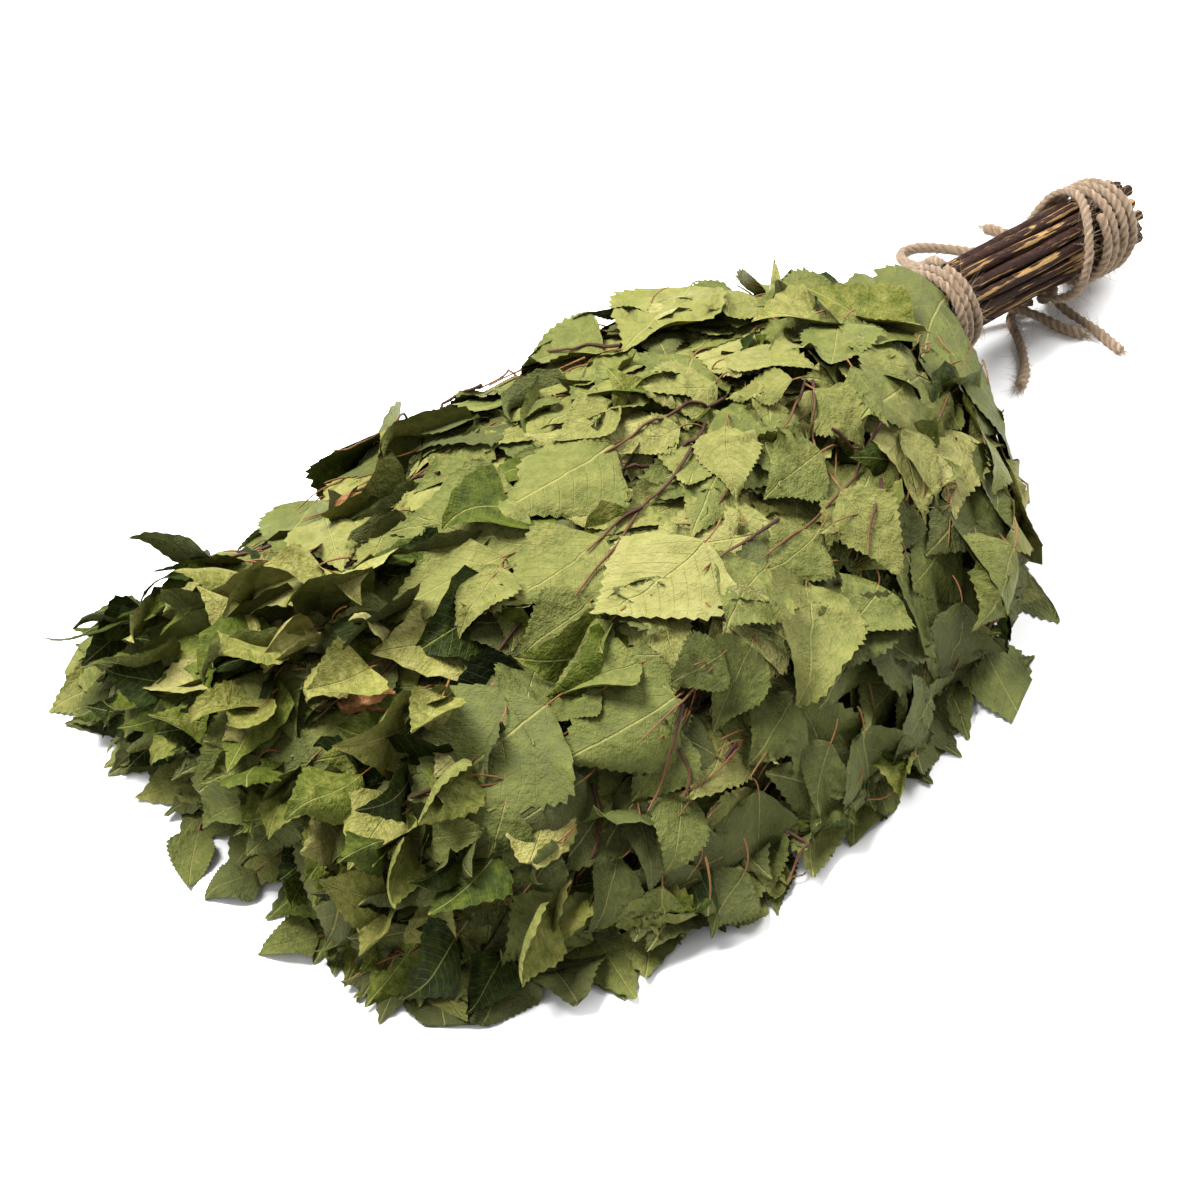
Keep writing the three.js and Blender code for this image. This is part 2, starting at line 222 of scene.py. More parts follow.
SEEN_LEAVES = [
    ("olive", (115, 632), (74, 640)), ("olive", (165, 625), (116, 680)), ("olive", (150, 595), (112, 615)),
    ("green", (260, 475), (192, 506)), ("olive", (250, 555), (200, 585)), ("rolled", (235, 620), (180, 660)),
    ("rolled", (205, 705), (168, 732)), ("olive", (280, 720), (226, 748)), ("under", (355, 715), (288, 750)),
    ("rolled", (260, 755), (200, 790)), ("dark", (330, 760), (255, 780)), ("rolled", (250, 800), (205, 830)),
    ("rolled", (352, 802), (312, 885)), ("dark", (300, 800), (240, 850)), ("olive", (400, 820), (358, 845)),
    ("dark", (470, 860), (420, 905)), ("dark", (560, 850), (520, 900)), ("dark", (410, 880), (370, 930)),
    ("pale", (430, 946), (432, 898)), ("green", (505, 800), (480, 890)), ("olive", (420, 838), (480, 842)),
    ("green", (570, 895), (505, 950)), ("dark", (620, 860), (585, 930)), ("dark", (745, 870), (702, 928)),
    ("dark", (700, 890), (655, 948)), ("olive", (660, 885), (640, 930)), ("dark", (640, 815), (650, 895)),
    ("green", (690, 790), (672, 880)), ("dark", (755, 790), (745, 868)), ("under", (848, 795), (820, 885)),
    ("rolled", (845, 790), (803, 835)), ("dark", (866, 730), (876, 808)), ("dark", (925, 690), (882, 750)),
    ("olive", (915, 755), (885, 792)), ("dark", (820, 740), (800, 800)), ("green", (675, 730), (630, 800)),
    ("dark", (790, 695), (740, 756)), ("green", (755, 640), (705, 722)), ("green", (725, 655), (684, 690)),
    ("green", (668, 705), (566, 770)), ("rolled", (600, 690), (560, 715)), ("green", (545, 710), (412, 803)),
    ("dark", (375, 690), (312, 688)), ("green", (395, 650), (308, 675)), ("patched", (360, 590), (264, 646)),
    ("dark", (332, 618), (262, 662)), ("brown", (336, 701), (415, 722)), ("olive", (395, 610), (345, 640)),
    ("green", (318, 502), (258, 555)), ("pale", (396, 520), (358, 575)), ("pale", (328, 525), (342, 575)),
    ("brown", (372, 492), (332, 515)), ("green", (400, 430), (310, 478)), ("olive", (470, 460), (415, 490)),
    ("pale", (440, 400), (396, 455)), ("green", (495, 350), (402, 380)), ("green", (590, 328), (480, 352)),
    ("green", (496, 365), (478, 430)), ("olive", (600, 350), (522, 370)), ("pale", (560, 372), (520, 400)),
    ("olive", (520, 505), (395, 522)), ("rolled", (555, 400), (520, 425)), ("pale", (620, 410), (555, 440)),
    ("under", (615, 445), (505, 525)), ("olive", (540, 545), (420, 540)), ("pale", (505, 556), (372, 604)),
    ("under", (605, 540), (515, 606)), ("pale", (500, 568), (470, 650)), ("olive", (590, 600), (520, 660)),
    ("olive", (610, 620), (555, 668)), ("olive", (640, 660), (545, 690)), ("green", (640, 285), (580, 322)),
    ("green", (730, 276), (660, 250)), ("pale", (690, 285), (626, 346)), ("olive", (800, 256), (756, 300)),
    ("pale", (762, 306), (712, 325)), ("olive", (855, 304), (765, 306)), ("green", (908, 292), (818, 262)),
    ("olive", (812, 316), (757, 350)), ("green", (945, 300), (884, 335)), ("olive", (845, 315), (840, 370)),
    ("pale", (715, 380), (638, 396)), ("pale", (722, 366), (818, 358)), ("pale", (790, 392), (726, 402)),
    ("under", (850, 374), (886, 418)), ("under", (810, 400), (868, 440)), ("dark", (1000, 405), (1058, 432)),
    ("green", (948, 350), (972, 430)), ("pale", (682, 434), (626, 462)), ("olive", (820, 460), (764, 498)),
    ("pale", (905, 426), (944, 498)), ("straw", (725, 422), (722, 494)), ("dark", (905, 500), (900, 540)),
    ("under", (990, 545), (962, 630)), ("pale", (990, 464), (952, 560)), ("olive", (955, 580), (930, 658)),
    ("olive", (880, 585), (850, 640)), ("pale", (840, 492), (904, 580)), ("olive", (820, 525), (780, 582)),
    ("olive", (765, 565), (716, 622)), ("straw", (702, 556), (612, 640)), ("pale", (808, 580), (800, 714)),
]
SEEN_ON_TABLE = [
    ("olive", (318, 935), (270, 950)), ("green", (170, 850), (150, 905)), ("dark", (255, 870), (206, 904)),
    ("dark", (450, 960), (412, 1005)), ("dark", (500, 960), (470, 990)), ("pale", (772, 905), (733, 930)),
    ("pale", (790, 880), (730, 872)), ("green", (800, 872), (815, 945)),
]

# Shoots that stand out in the photograph, by the pixels that they pass.
SEEN_SHOOTS = [
    [(622, 340), (590, 343), (550, 352), (505, 368), (470, 384)],
    [(480, 384), (440, 396), (400, 408), (358, 424), (325, 442)],
    [(722, 392), (690, 402), (665, 415), (640, 428), (600, 450), (574, 463)],
    [(705, 425), (690, 446), (672, 476), (645, 506), (615, 545), (595, 572), (575, 600)],
    [(640, 508), (610, 530), (585, 552)],
    [(806, 378), (800, 396), (790, 416), (784, 432)],
    [(811, 380), (815, 410), (820, 446)],
    [(886, 418), (870, 446), (850, 480), (820, 510), (790, 534), (764, 556)],
    [(829, 430), (850, 446), (862, 456)],
    [(780, 520), (740, 545), (700, 575)],
    [(520, 625), (495, 655), (460, 672)],
    [(682, 703), (678, 730), (670, 760), (660, 790), (646, 815)],
    [(682, 750), (690, 775), (680, 800)],
    [(594, 785), (598, 820), (590, 868), (575, 885)],
    [(790, 834), (805, 840), (798, 862), (788, 882)],
    [(440, 472), (400, 480), (360, 488), (325, 498)],
    [(268, 545), (235, 555), (200, 572)],
    [(430, 790), (405, 805), (385, 820)],
    [(880, 480), (870, 520), (862, 560)],
]
SEEN_SHOOT_THICKNESS = (0.0009, 0.00045)
SEEN_STRETCH = 1.06
SEEN_LENGTH_LIMITS = (0.028, 0.082)

# Studio lights: place, width and power.
LIGHT_AIM = Vector((-0.05, 0.0, 0.03))
LIGHTS = {
    "key_light": ((-0.55, 0.90, 1.90), 0.95, 142.0),
    "side_light": ((1.45, 0.0, 1.20), 0.9, 46.0),
    "fill_light": ((-1.5, -0.2, 1.4), 1.4, 8.0),
}
WORLD_LIGHT = 0.38
TABLE_WHITE = 0.93

Part = namedtuple("Part", "vertices quads material points faces rim")


def smooth_step(low, high, value):
    share = np.clip((value - low) / (high - low), 0.0, 1.0)
    return share * share * (3.0 - 2.0 * share)


def unit(vectors):
    return vectors / (np.linalg.norm(vectors, axis=-1, keepdims=True) + 1e-12)


def rgb(red, green, blue):
    return (red, green, blue, 1.0)


def camera_axes():
    """The camera's place, and its directions to the right, up and back."""
    back = np.array([
        math.sin(CAMERA_AZIMUTH) * math.cos(CAMERA_ELEVATION),
        -math.cos(CAMERA_AZIMUTH) * math.cos(CAMERA_ELEVATION),
        math.sin(CAMERA_ELEVATION),
    ])
    right = np.array([math.cos(CAMERA_AZIMUTH), math.sin(CAMERA_AZIMUTH), 0.0])
    return np.array(CAMERA_TARGET) + back * CAMERA_DISTANCE, right, np.cross(back, right), back


def photo_pixels(points):
    """Where the camera sees points, in pixels of the photograph, and how far off they are."""
    place, right, up, back = camera_axes()
    away = points - place
    depth = -(away @ back)
    zoom = PHOTO_SIZE * CAMERA_LENS / CAMERA_SENSOR / depth
    pixel_x = PHOTO_SIZE / 2 + zoom * (away @ right)
    pixel_y = PHOTO_SIZE / 2 - zoom * (away @ up)
    return np.stack([pixel_x, pixel_y], axis=-1), depth


class NodeTree:
    """A material's nodes, written as short expressions."""

    def __init__(self, name):
        self.material = bpy.data.materials.new(name)
        self.material.use_nodes = True
        self.tree = self.material.node_tree
        self.shader = self.tree.nodes["Principled BSDF"]

    def node(self, kind, settings=None, **inputs):
        made = self.tree.nodes.new(kind)
        for key, value in (settings or {}).items():
            setattr(made, key, value)
        for key, value in inputs.items():
            self.feed(made.inputs[key.replace("_", " ")], value)
        return made

    def feed(self, socket, value):
        if isinstance(value, bpy.types.NodeSocket):
            self.tree.links.new(value, socket)
        else:
            socket.default_value = value

    def attribute(self, name):
        return self.node("ShaderNodeAttribute", {"attribute_name": name}).outputs["Fac"]

    def math(self, operation, first, second=0.0):
        made = self.node("ShaderNodeMath", {"operation": operation})
        self.feed(made.inputs[0], first)
        self.feed(made.inputs[1], second)
        return made.outputs[0]

    def add(self, first, second):
        return self.math("ADD", first, second)

    def times(self, first, second):
        return self.math("MULTIPLY", first, second)

    def about_half(self, value, amount):
        """A value around one half, as an amount to add or take away."""
        return self.times(self.math("SUBTRACT", value, 0.5), amount)

    def spread(self, value, low, high, to_low=0.0, to_high=1.0):
        made = self.node("ShaderNodeMapRange", {"interpolation_type": "SMOOTHSTEP"})
        settings = {"Value": value, "From Min": low, "From Max": high, "To Min": to_low, "To Max": to_high}
        for key, setting in settings.items():
            self.feed(made.inputs[key], setting)
        return made.outputs[0]

    def mix(self, share, first, second):
        made = self.node("ShaderNodeMix", {"data_type": "RGBA"})
        self.feed(made.inputs[0], share)
        self.feed(made.inputs[6], first)
        self.feed(made.inputs[7], second)
        return made.outputs[2]

    def ramp(self, value, stops):
        made = self.node("ShaderNodeValToRGB", Fac=value)
        elements = made.color_ramp.elements
        while len(elements) < len(stops):
            elements.new(0.5)
        for element, (place, colour) in zip(elements, stops):
            element.position = place
            element.color = (*colour, 1.0)
        return made.outputs["Color"]

    def noise(self, vector, scale, detail=3.0, roughness=0.55):
        made = self.node("ShaderNodeTexNoise", Vector=vector, Scale=scale, Detail=detail, Roughness=roughness)
        return made.outputs["Fac"]

    def vector(self, x, y, z):
        return self.node("ShaderNodeCombineXYZ", X=x, Y=y, Z=z).outputs[0]

    def bump(self, height, strength, distance):
        made = self.node("ShaderNodeBump", Height=height, Strength=strength, Distance=distance)
        return made.outputs["Normal"]

    def finish(self, colour, roughness, normal=None, **constants):
        self.feed(self.shader.inputs["Base Color"], colour)
        self.feed(self.shader.inputs["Roughness"], roughness)
        if normal is not None:
            self.feed(self.shader.inputs["Normal"], normal)
        for key, value in constants.items():
            self.shader.inputs[key.replace("_", " ")].default_value = value
        return self.material


def leaf_material():
    """Dry birch leaf: pale veins, green to straw by leaf, paler underside, brown blotches with age."""
    nodes = NodeTree("birch_leaf")
    along = nodes.attribute("leaf_along")
    signed_across = nodes.attribute("leaf_across")
    across = nodes.math("ABSOLUTE", signed_across)
    place = nodes.vector(along, signed_across, nodes.times(nodes.attribute("leaf_seed"), 40.0))
    mottle = nodes.noise(place, 8.0, 4.0, 0.62)
    fine = nodes.noise(place, 55.0, 2.0, 0.65)

    midrib = nodes.spread(across, 0.003, 0.011, 1.0, 0.0)
    bow = nodes.times(nodes.times(across, across), 0.8)
    vein_line = nodes.math("SUBTRACT", along, nodes.add(nodes.times(across, 0.75), bow))
    vein_wave = nodes.math("PINGPONG", nodes.add(vein_line, 2.0), 0.056)
    side_veins = nodes.spread(vein_wave, 0.0005, 0.0055, 1.0, 0.0)
    side_veins = nodes.times(side_veins, nodes.spread(across, 0.06, 0.40, 0.62, 0.12))
    veins = nodes.math("MAXIMUM", midrib, side_veins)

    # leaf_tone is each leaf's own tone with painted light and shade added to it, after where the leaf lies on
    # the whisk.
    shade = nodes.add(nodes.attribute("leaf_tone"), nodes.about_half(mottle, 0.75))
    shade = nodes.add(shade, nodes.about_half(fine, 0.30))
    blade = nodes.ramp(shade, [
        (0.00, (0.006, 0.010, 0.001)),
        (0.22, (0.018, 0.029, 0.002)),
        (0.45, (0.058, 0.074, 0.006)),
        (0.70, (0.160, 0.155, 0.034)),
        (1.00, (0.270, 0.245, 0.085)),
    ])
    under = nodes.attribute("leaf_under")
    blade = nodes.mix(nodes.times(under, 0.38), blade, rgb(0.150, 0.152, 0.052))
    brown = nodes.ramp(mottle, [
        (0.30, (0.065, 0.026, 0.008)),
        (0.52, (0.210, 0.092, 0.030)),
        (0.75, (0.360, 0.200, 0.085)),
    ])
    blotch = nodes.add(nodes.noise(place, 4.0, 4.0, 0.6), nodes.attribute("leaf_age"))
    blade = nodes.mix(nodes.spread(blotch, 0.96, 1.16), blade, brown)
    colour = nodes.mix(nodes.times(veins, 0.50), blade, rgb(0.270, 0.250, 0.080))

    relief = nodes.add(nodes.times(veins, -0.25), nodes.times(mottle, 1.3))
    relief = nodes.add(relief, nodes.times(fine, 0.22))
    normal = nodes.bump(relief, 0.85, 0.0026)
    roughness = nodes.spread(fine, 0.3, 0.7, 0.50, 0.72)
    return nodes.finish(colour, roughness, normal, Specular_IOR_Level=0.10)


def twig_material():
    """Shoots and leaf stalks: red-brown bark where they are thick, orange-tan where they are thin."""
    nodes = NodeTree("birch_twig")
    place = nodes.node("ShaderNodeTexCoord").outputs["Object"]
    grain = nodes.noise(place, 700.0, 3.0)
    bark = nodes.mix(grain, rgb(0.012, 0.005, 0.004), rgb(0.058, 0.020, 0.013))
    stalk = nodes.mix(grain, rgb(0.110, 0.042, 0.014), rgb(0.250, 0.125, 0.038))
    colour = nodes.mix(nodes.attribute("twig_thin"), bark, stalk)
    return nodes.finish(colour, 0.55, nodes.bump(grain, 0.35, 0.0005), Specular_IOR_Level=0.2)


def bark_material():
    """Stems of the handle: dark bark worn to ochre along streaks, and pale rough wood on the cut ends."""
    nodes = NodeTree("birch_bark")
    along = nodes.attribute("stem_along")
    turn = nodes.attribute("stem_turn")
    seed = nodes.times(nodes.attribute("stem_seed"), 30.0)
    streak = nodes.noise(nodes.vector(nodes.times(along, 13.0), turn, seed), 1.9, 4.0, 0.6)
    grain = nodes.noise(nodes.vector(nodes.times(along, 160.0), nodes.times(turn, 5.0), seed), 2.2, 3.0)
    bark = nodes.ramp(grain, [
        (0.25, (0.006, 0.003, 0.003)),
        (0.50, (0.022, 0.010, 0.007)),
        (0.80, (0.080, 0.036, 0.022)),
    ])
    worn = nodes.mix(grain, rgb(0.160, 0.085, 0.030), rgb(0.430, 0.270, 0.105))
    colour = nodes.mix(nodes.spread(streak, 0.545, 0.585), bark, worn)
    wood = nodes.mix(grain, rgb(0.260, 0.165, 0.085), rgb(0.620, 0.480, 0.310))
    colour = nodes.mix(nodes.attribute("stem_cut"), colour, wood)
    relief = nodes.add(grain, nodes.times(streak, -0.8))
    roughness = nodes.spread(grain, 0.2, 0.8, 0.55, 0.80)
    return nodes.finish(colour, roughness, nodes.bump(relief, 0.9, 0.0014), Specular_IOR_Level=0.08)


def twine_material():
    """Jute: straw and brown fibres that follow the plies, with painted shade that darkens the grooves between
    them.
    """
    nodes = NodeTree("jute_twine")
    along = nodes.attribute("twine_along")
    turn = nodes.attribute("twine_turn")
    seed = nodes.attribute("twine_seed")
    fibre = nodes.noise(nodes.vector(nodes.times(along, 90.0), nodes.times(turn, 9.0), seed), 2.0, 3.0, 0.6)
    patch = nodes.noise(nodes.vector(along, 0.0, seed), 45.0, 2.0)
    shade = nodes.add(nodes.times(fibre, 0.75), nodes.times(patch, 0.25))
    fibres = nodes.ramp(shade, [
        (0.28, (0.130, 0.078, 0.042)),
        (0.50, (0.285, 0.200, 0.125)),
        (0.74, (0.450, 0.355, 0.250)),
    ])
    groove_shade = nodes.attribute("twine_groove_shade")
    # Painted shade: the colour is mixed towards dark brown by the depth of the groove between the plies.
    colour = nodes.mix(nodes.times(groove_shade, 0.60), fibres, rgb(0.085, 0.048, 0.024))
    normal = nodes.bump(fibre, 0.8, 0.0009)
    return nodes.finish(colour, 0.85, normal, Specular_IOR_Level=0.15, Sheen_Weight=0.15)


def part(vertices, quads, material, points=None, faces=None, rim=None):
    """Mesh data of one thing, with named values on its points and faces. rim marks points of sharp edges."""
    return Part(vertices, quads, material, points or {}, faces or {}, rim)


def joined_mesh(name, parts):
    """One mesh of several parts, with their materials."""
    starts = np.cumsum([0] + [len(one.vertices) for one in parts])
    vertices = np.concatenate([one.vertices for one in parts])
    quads = np.concatenate([one.quads + start for one, start in zip(parts, starts)])
    mesh = bpy.data.meshes.new(name)
    mesh.vertices.add(len(vertices))
    mesh.vertices.foreach_set("co", np.ascontiguousarray(vertices, np.float32).ravel())
    mesh.loops.add(quads.size)
    mesh.loops.foreach_set("vertex_index", np.ascontiguousarray(quads, np.int32).ravel())
    mesh.polygons.add(len(quads))
    mesh.polygons.foreach_set("loop_start", np.arange(0, quads.size, 4, dtype=np.int32))
    mesh.update(calc_edges=True)
    materials = []
    for one in parts:
        if one.material not in materials:
            materials.append(one.material)
            mesh.materials.append(one.material)
    index = [np.full(len(one.quads), materials.index(one.material), np.int32) for one in parts]
    mesh.polygons.foreach_set("material_index", np.concatenate(index))
    return mesh


def set_values(mesh, parts, kind, domain):
    """Writes the parts' named values to the mesh's points or faces, zero where a part has none."""
    sizes = [len(one.vertices if kind == "points" else one.quads) for one in parts]
    own_values = [getattr(one, kind) for one in parts]
    for key in dict.fromkeys(key for values in own_values for key in values):
        numbers = [np.ravel(values.get(key, np.zeros(size))) for values, size in zip(own_values, sizes)]
        layer = mesh.attributes.new(key, "FLOAT", domain)
        layer.data.foreach_set("value", np.concatenate(numbers).astype(np.float32))


def add_piece(name, parts):
    """One smooth mesh piece of several parts, which rides on the whisk."""
    mesh = joined_mesh(name, parts)
    set_values(mesh, parts, "points", "POINT")
    set_values(mesh, parts, "faces", "FACE")
    mesh.shade_smooth()
    mark_sharp(mesh, parts)
    piece = bpy.data.objects.new(name, mesh)
    bpy.context.collection.objects.link(piece)
    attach(piece, "root")
    return piece


def mark_sharp(mesh, parts):
    """Marks each edge whose two points are both on a rim."""
    rim = np.concatenate([np.zeros(len(one.vertices), bool) if one.rim is None else one.rim for one in parts])
    if rim.any():
        ends = np.zeros(len(mesh.edges) * 2, np.int32)
        mesh.edges.foreach_get("vertices", ends)
        sharp = rim[ends.reshape(-1, 2)].all(axis=1)
        mesh.attributes.new("sharp_edge", "BOOLEAN", "EDGE").data.foreach_set("value", sharp)


def grid_quads(rows, around):
    """Quads of a tube's rings, each joined to the next."""
    ring = np.arange(rows * around).reshape(rows, around)
    after = np.roll(ring, -1, axis=1)
    return np.stack([ring[:-1], after[:-1], after[1:], ring[1:]], axis=-1).reshape(-1, 4)


def repeated(quads, copies, points):
    """Quads of several copies of a mesh that has this many points."""
    return (quads[None] + points * np.arange(copies)[:, None, None]).reshape(-1, 4)


def distances(path):
    return np.concatenate([[0.0], np.cumsum(np.linalg.norm(np.diff(path, axis=0), axis=1))])


def resample(path, step):
    """The path's points at even steps along it."""
    far = distances(path)
    even = np.linspace(0.0, far[-1], max(3, int(far[-1] / step) + 1))
    return np.stack([np.interp(even, far, path[:, axis]) for axis in range(3)], axis=1)


def smooth_path(points, per_span=24):
    """A smooth curve through given points."""
    points = np.asarray(points)
    padded = np.concatenate([[2 * points[0] - points[1]], points, [2 * points[-1] - points[-2]]])
    t = np.linspace(0.0, 1.0, per_span, endpoint=False)[:, None]
    spans = []
    for a, b, c, d in zip(padded, padded[1:], padded[2:], padded[3:]):
        spans.append(b + 0.5 * t * (c - a + t * (2 * a - 5 * b + 4 * c - d + t * (3 * (b - c) + d - a))))
    return np.concatenate(spans + [points[-1:]])


def carried_frames(path):
    """Two directions across the path at each point, carried along it without turning round it."""
    ahead = unit(np.gradient(path, axis=0))
    side = np.zeros_like(path)
    start = np.array([0.0, 0.0, 1.0]) if abs(ahead[0, 2]) < 0.9 else np.array([0.0, 1.0, 0.0])
    for index, forward in enumerate(ahead):
        start = unit(start - forward * np.dot(start, forward))
        side[index] = start
    return side, np.cross(ahead, side)


def tube(path, radius, around):
    """Vertices of rings round a path. radius is one number for each ring, or for each ring and side."""
    side, other = carried_frames(path)
    angle = np.linspace(0.0, 2 * np.pi, around, endpoint=False)
    radius = np.broadcast_to(np.asarray(radius).reshape(len(path), -1), (len(path), around))
    across = side[:, None] * np.cos(angle)[None, :, None] + other[:, None] * np.sin(angle)[None, :, None]
    return (path[:, None] + across * radius[..., None]).reshape(-1, 3)


def handle_axis(x):
    return np.stack([x, np.zeros_like(x), np.interp(x, HANDLE_X, HANDLE_Z)], axis=-1)


def binding_path(binding):
    """The centreline of twine wound round the handle."""
    share = np.linspace(0.0, 1.0, 400)
    angle = binding["angle"] + 2 * np.pi * binding["turns"] * share
    radius = binding["bundle"] + TWINE_RADIUS + BINDING_CLEARANCE
    along = binding["start"] + (binding["end"] - binding["start"]) * share + binding["lean"] * np.sin(angle)
    path = handle_axis(along)
    path[:, 0] += BINDING_WANDER * np.sin(1.7 * angle + binding["angle"])
    path[:, 1] += radius * np.cos(angle)
    path[:, 2] += radius * np.sin(angle)
    return path


def knot_path():
    """A small closed overhand knot, lying flat."""
    turn = np.linspace(0.0, 2 * np.pi, 160)
    x = 0.0018 * (2.0 + np.cos(3 * turn)) * np.cos(2 * turn)
    y = 0.0015 * (2.0 + np.cos(3 * turn)) * np.sin(2 * turn)
    z = 0.0026 * np.sin(3 * turn)
    return np.array(KNOT_MIDDLE) + np.stack([x, y, z], axis=1)


def ply_lobes(angle):
    """The outline of three round plies at angles round the twine, as a share of its radius."""
    from_ply = np.abs((angle * PLIES / (2 * np.pi)) % 1.0 - 0.5) * 2 * np.pi / PLIES
    inside = PLY_RADIUS ** 2 - (PLY_MIDDLE * np.sin(from_ply)) ** 2
    return PLY_MIDDLE * np.cos(from_ply) + np.sqrt(np.clip(inside, 0.0, None))


def twine_part(path, material, frayed=False):
    """Three plies twisted round each other: grooves run round the strand, which swells at a frayed end."""
    path = resample(path, TWINE_STEP)
    along = distances(path)
    to_end = along[-1] - along
    angle = np.linspace(0.0, 2 * np.pi, TWINE_SIDES, endpoint=False)
    turned = angle[None, :] - 2 * np.pi * along[:, None] / TWINE_LAY
    lobes = ply_lobes(turned)
    seed = random.uniform(0.0, 50.0)
    swell = 1.0 + 0.05 * np.sin(along * 310 + seed) + 0.04 * np.sin(along * 131 + 2 * seed)
    if frayed:
        swell = swell + FRAY_SWELL * smooth_step(FRAY_LENGTH, 0.004, to_end)
    closed = np.minimum(smooth_step(-0.001, 0.0012, along), smooth_step(-0.001, 0.0012, to_end))
    radius = TWINE_RADIUS * np.maximum(lobes, GROOVE_FLOOR) * swell[:, None] * (0.03 + 0.97 * closed)[:, None]
    vertices = tube(path, radius, TWINE_SIDES)
    vertices[:, 2] = np.maximum(vertices[:, 2], TABLE_GAP)
    return path, part(vertices, grid_quads(len(path), TWINE_SIDES), material, {
        "twine_along": np.repeat(along, TWINE_SIDES),
        "twine_turn": np.cos(turned),
        # How deep the groove between the plies is at each point, which drives the painted shade in the
        # twine's material.
        "twine_groove_shade": np.clip((1.0 - lobes) / 0.4, 0.0, 1.0),
        "twine_seed": np.full(len(path) * TWINE_SIDES, seed),
    })


def fuzz_part(path, material, per_metre=2600, frayed=False):
    """Loose fibres that stand off the twine, and a brush of them at a cut end."""
    count = int(distances(path)[-1] * per_metre)
    row = random.integers(1, len(path) - 1, count)
    side, other = carried_frames(path)
    ahead = unit(np.gradient(path, axis=0))
    angle = random.uniform(0.0, 2 * np.pi, count)[:, None]
    out = side[row] * np.cos(angle) + other[row] * np.sin(angle)
    round_it = other[row] * np.cos(angle) - side[row] * np.sin(angle)
    start = path[row] + out * TWINE_RADIUS * 0.85
    lean = random.uniform(-1.0, 1.0, (count, 1)) * ahead[row]
    lean = lean + random.uniform(-0.8, 0.8, (count, 1)) * round_it
    way = unit(lean + out * random.uniform(0.12, 0.8, (count, 1)))
    length = random.uniform(0.0015, 0.0065, (count, 1))
    if frayed:
        size = (BRUSH_FIBRES, 3)
        start = np.concatenate([start, path[-1] + random.normal(0.0, TWINE_RADIUS * 0.4, size)])
        way = np.concatenate([way, unit(ahead[-1] + random.normal(0.0, 0.42, size))])
        length = np.concatenate([length, random.uniform(0.003, 0.0085, (BRUSH_FIBRES, 1))])
    return fibres_part(start, way, length, material)


def fibres_part(start, way, length, material):
    """Thin curved fibres of three sides."""
    count = len(start)
    share = np.linspace(0.0, 1.0, 3)
    curl = random.normal(0.0, 0.45, (count, 3))
    heading = way[:, None] + curl[:, None] * share[None, :, None]
    middle = start[:, None] + heading * (length * share)[..., None]
    middle[..., 2] = np.maximum(middle[..., 2], 3 * FIBRE_RADIUS)
    across = unit(np.cross(way, random.normal(size=(count, 3))))
    other = np.cross(way, across)
    angle = np.array([0.0, 2.1, 4.2])
    ring = across[:, None] * np.cos(angle)[None, :, None] + other[:, None] * np.sin(angle)[None, :, None]
    radius = FIBRE_RADIUS * (1.0 - 0.6 * share)
    vertices = middle[:, :, None] + ring[:, None] * radius[None, :, None, None]
    per_fibre = len(share) * len(angle)
    quads = repeated(grid_quads(len(share), len(angle)), count, per_fibre)
    tint = np.repeat(random.uniform(0.0, 9.0, count), per_fibre)
    return part(vertices.reshape(-1, 3), quads, material, {"twine_along": tint, "twine_seed": tint})


def add_twine():
    """Both bindings, the knot and the loose strands, each with its loose fibres."""
    jute = twine_material()
    wound = {
        "neck_binding": binding_path(NECK_BINDING),
        "butt_binding": binding_path(BUTT_BINDING),
        "twine_knot": knot_path(),
    }
    for name, path in wound.items():
        path, strand = twine_part(path, jute)
        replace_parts(add_piece(name + "_jute", [strand, fuzz_part(path, jute)]), name)
    for name, (far_end, points) in LOOSE_TWINE.items():
        path, strand = twine_part(smooth_path(points), jute, far_end == "bare")
        piece = add_piece(name + "_jute", [strand])
        fuzz = add_piece(name + "_fibres", [fuzz_part(path, jute, frayed=far_end == "bare")])
        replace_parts(piece, name)


def node_vertices(name):
    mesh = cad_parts[name].data
    points = np.zeros(len(mesh.vertices) * 3, np.float32)
    mesh.vertices.foreach_get("co", points)
    return points.reshape(-1, 3).astype(float)


def stem_ends(name):
    """The middle of a stem's end among the leaves and of its cut end, and its radius."""
    points = node_vertices(name)
    first = points[points[:, 0] < points[:, 0].min() + 0.003]
    last = points[points[:, 0] > points[:, 0].max() - 0.003]
    radius = np.linalg.norm((last - last.mean(axis=0))[:, 1:], axis=1).max()
    return first.mean(axis=0), last.mean(axis=0), radius


def crooked_line(first, last, share):
    """A line between two points that wanders a little, and where its waves start."""
    path = first + (last - first) * share[:, None]
    wander = random.uniform(0.0002, 0.0007, 2)
    phase = random.uniform(0.0, 6.3, 2)
    for number, axis in enumerate((1, 2)):
        path[:, axis] += wander[number] * np.sin(random.uniform(6, 14) * share + phase[number])
    return path, phase


def stem_outline(share, angle, phase):
    """How far the bark stands out at each ring and side, with a swelling or more where twigs were."""
    ridges = 0.05 * np.sin(3 * angle + phase[0])[None, :]
    outline = 1.0 + ridges + 0.03 * np.sin(31 * share + phase[1])[:, None]
    for _ in range(random.integers(1, 4)):
        place = random.uniform(0.15, 0.92)
        facing = random.uniform(0.0, 6.3)
        along = np.exp(-((share - place) / SWELLING_LENGTH) ** 2)[:, None]
        around = np.clip(np.cos(angle - facing), 0, None)[None, :] ** 2
        outline = outline + random.uniform(0.15, 0.42) * along * around
    return outline + random.normal(0.0, 0.012, outline.shape)


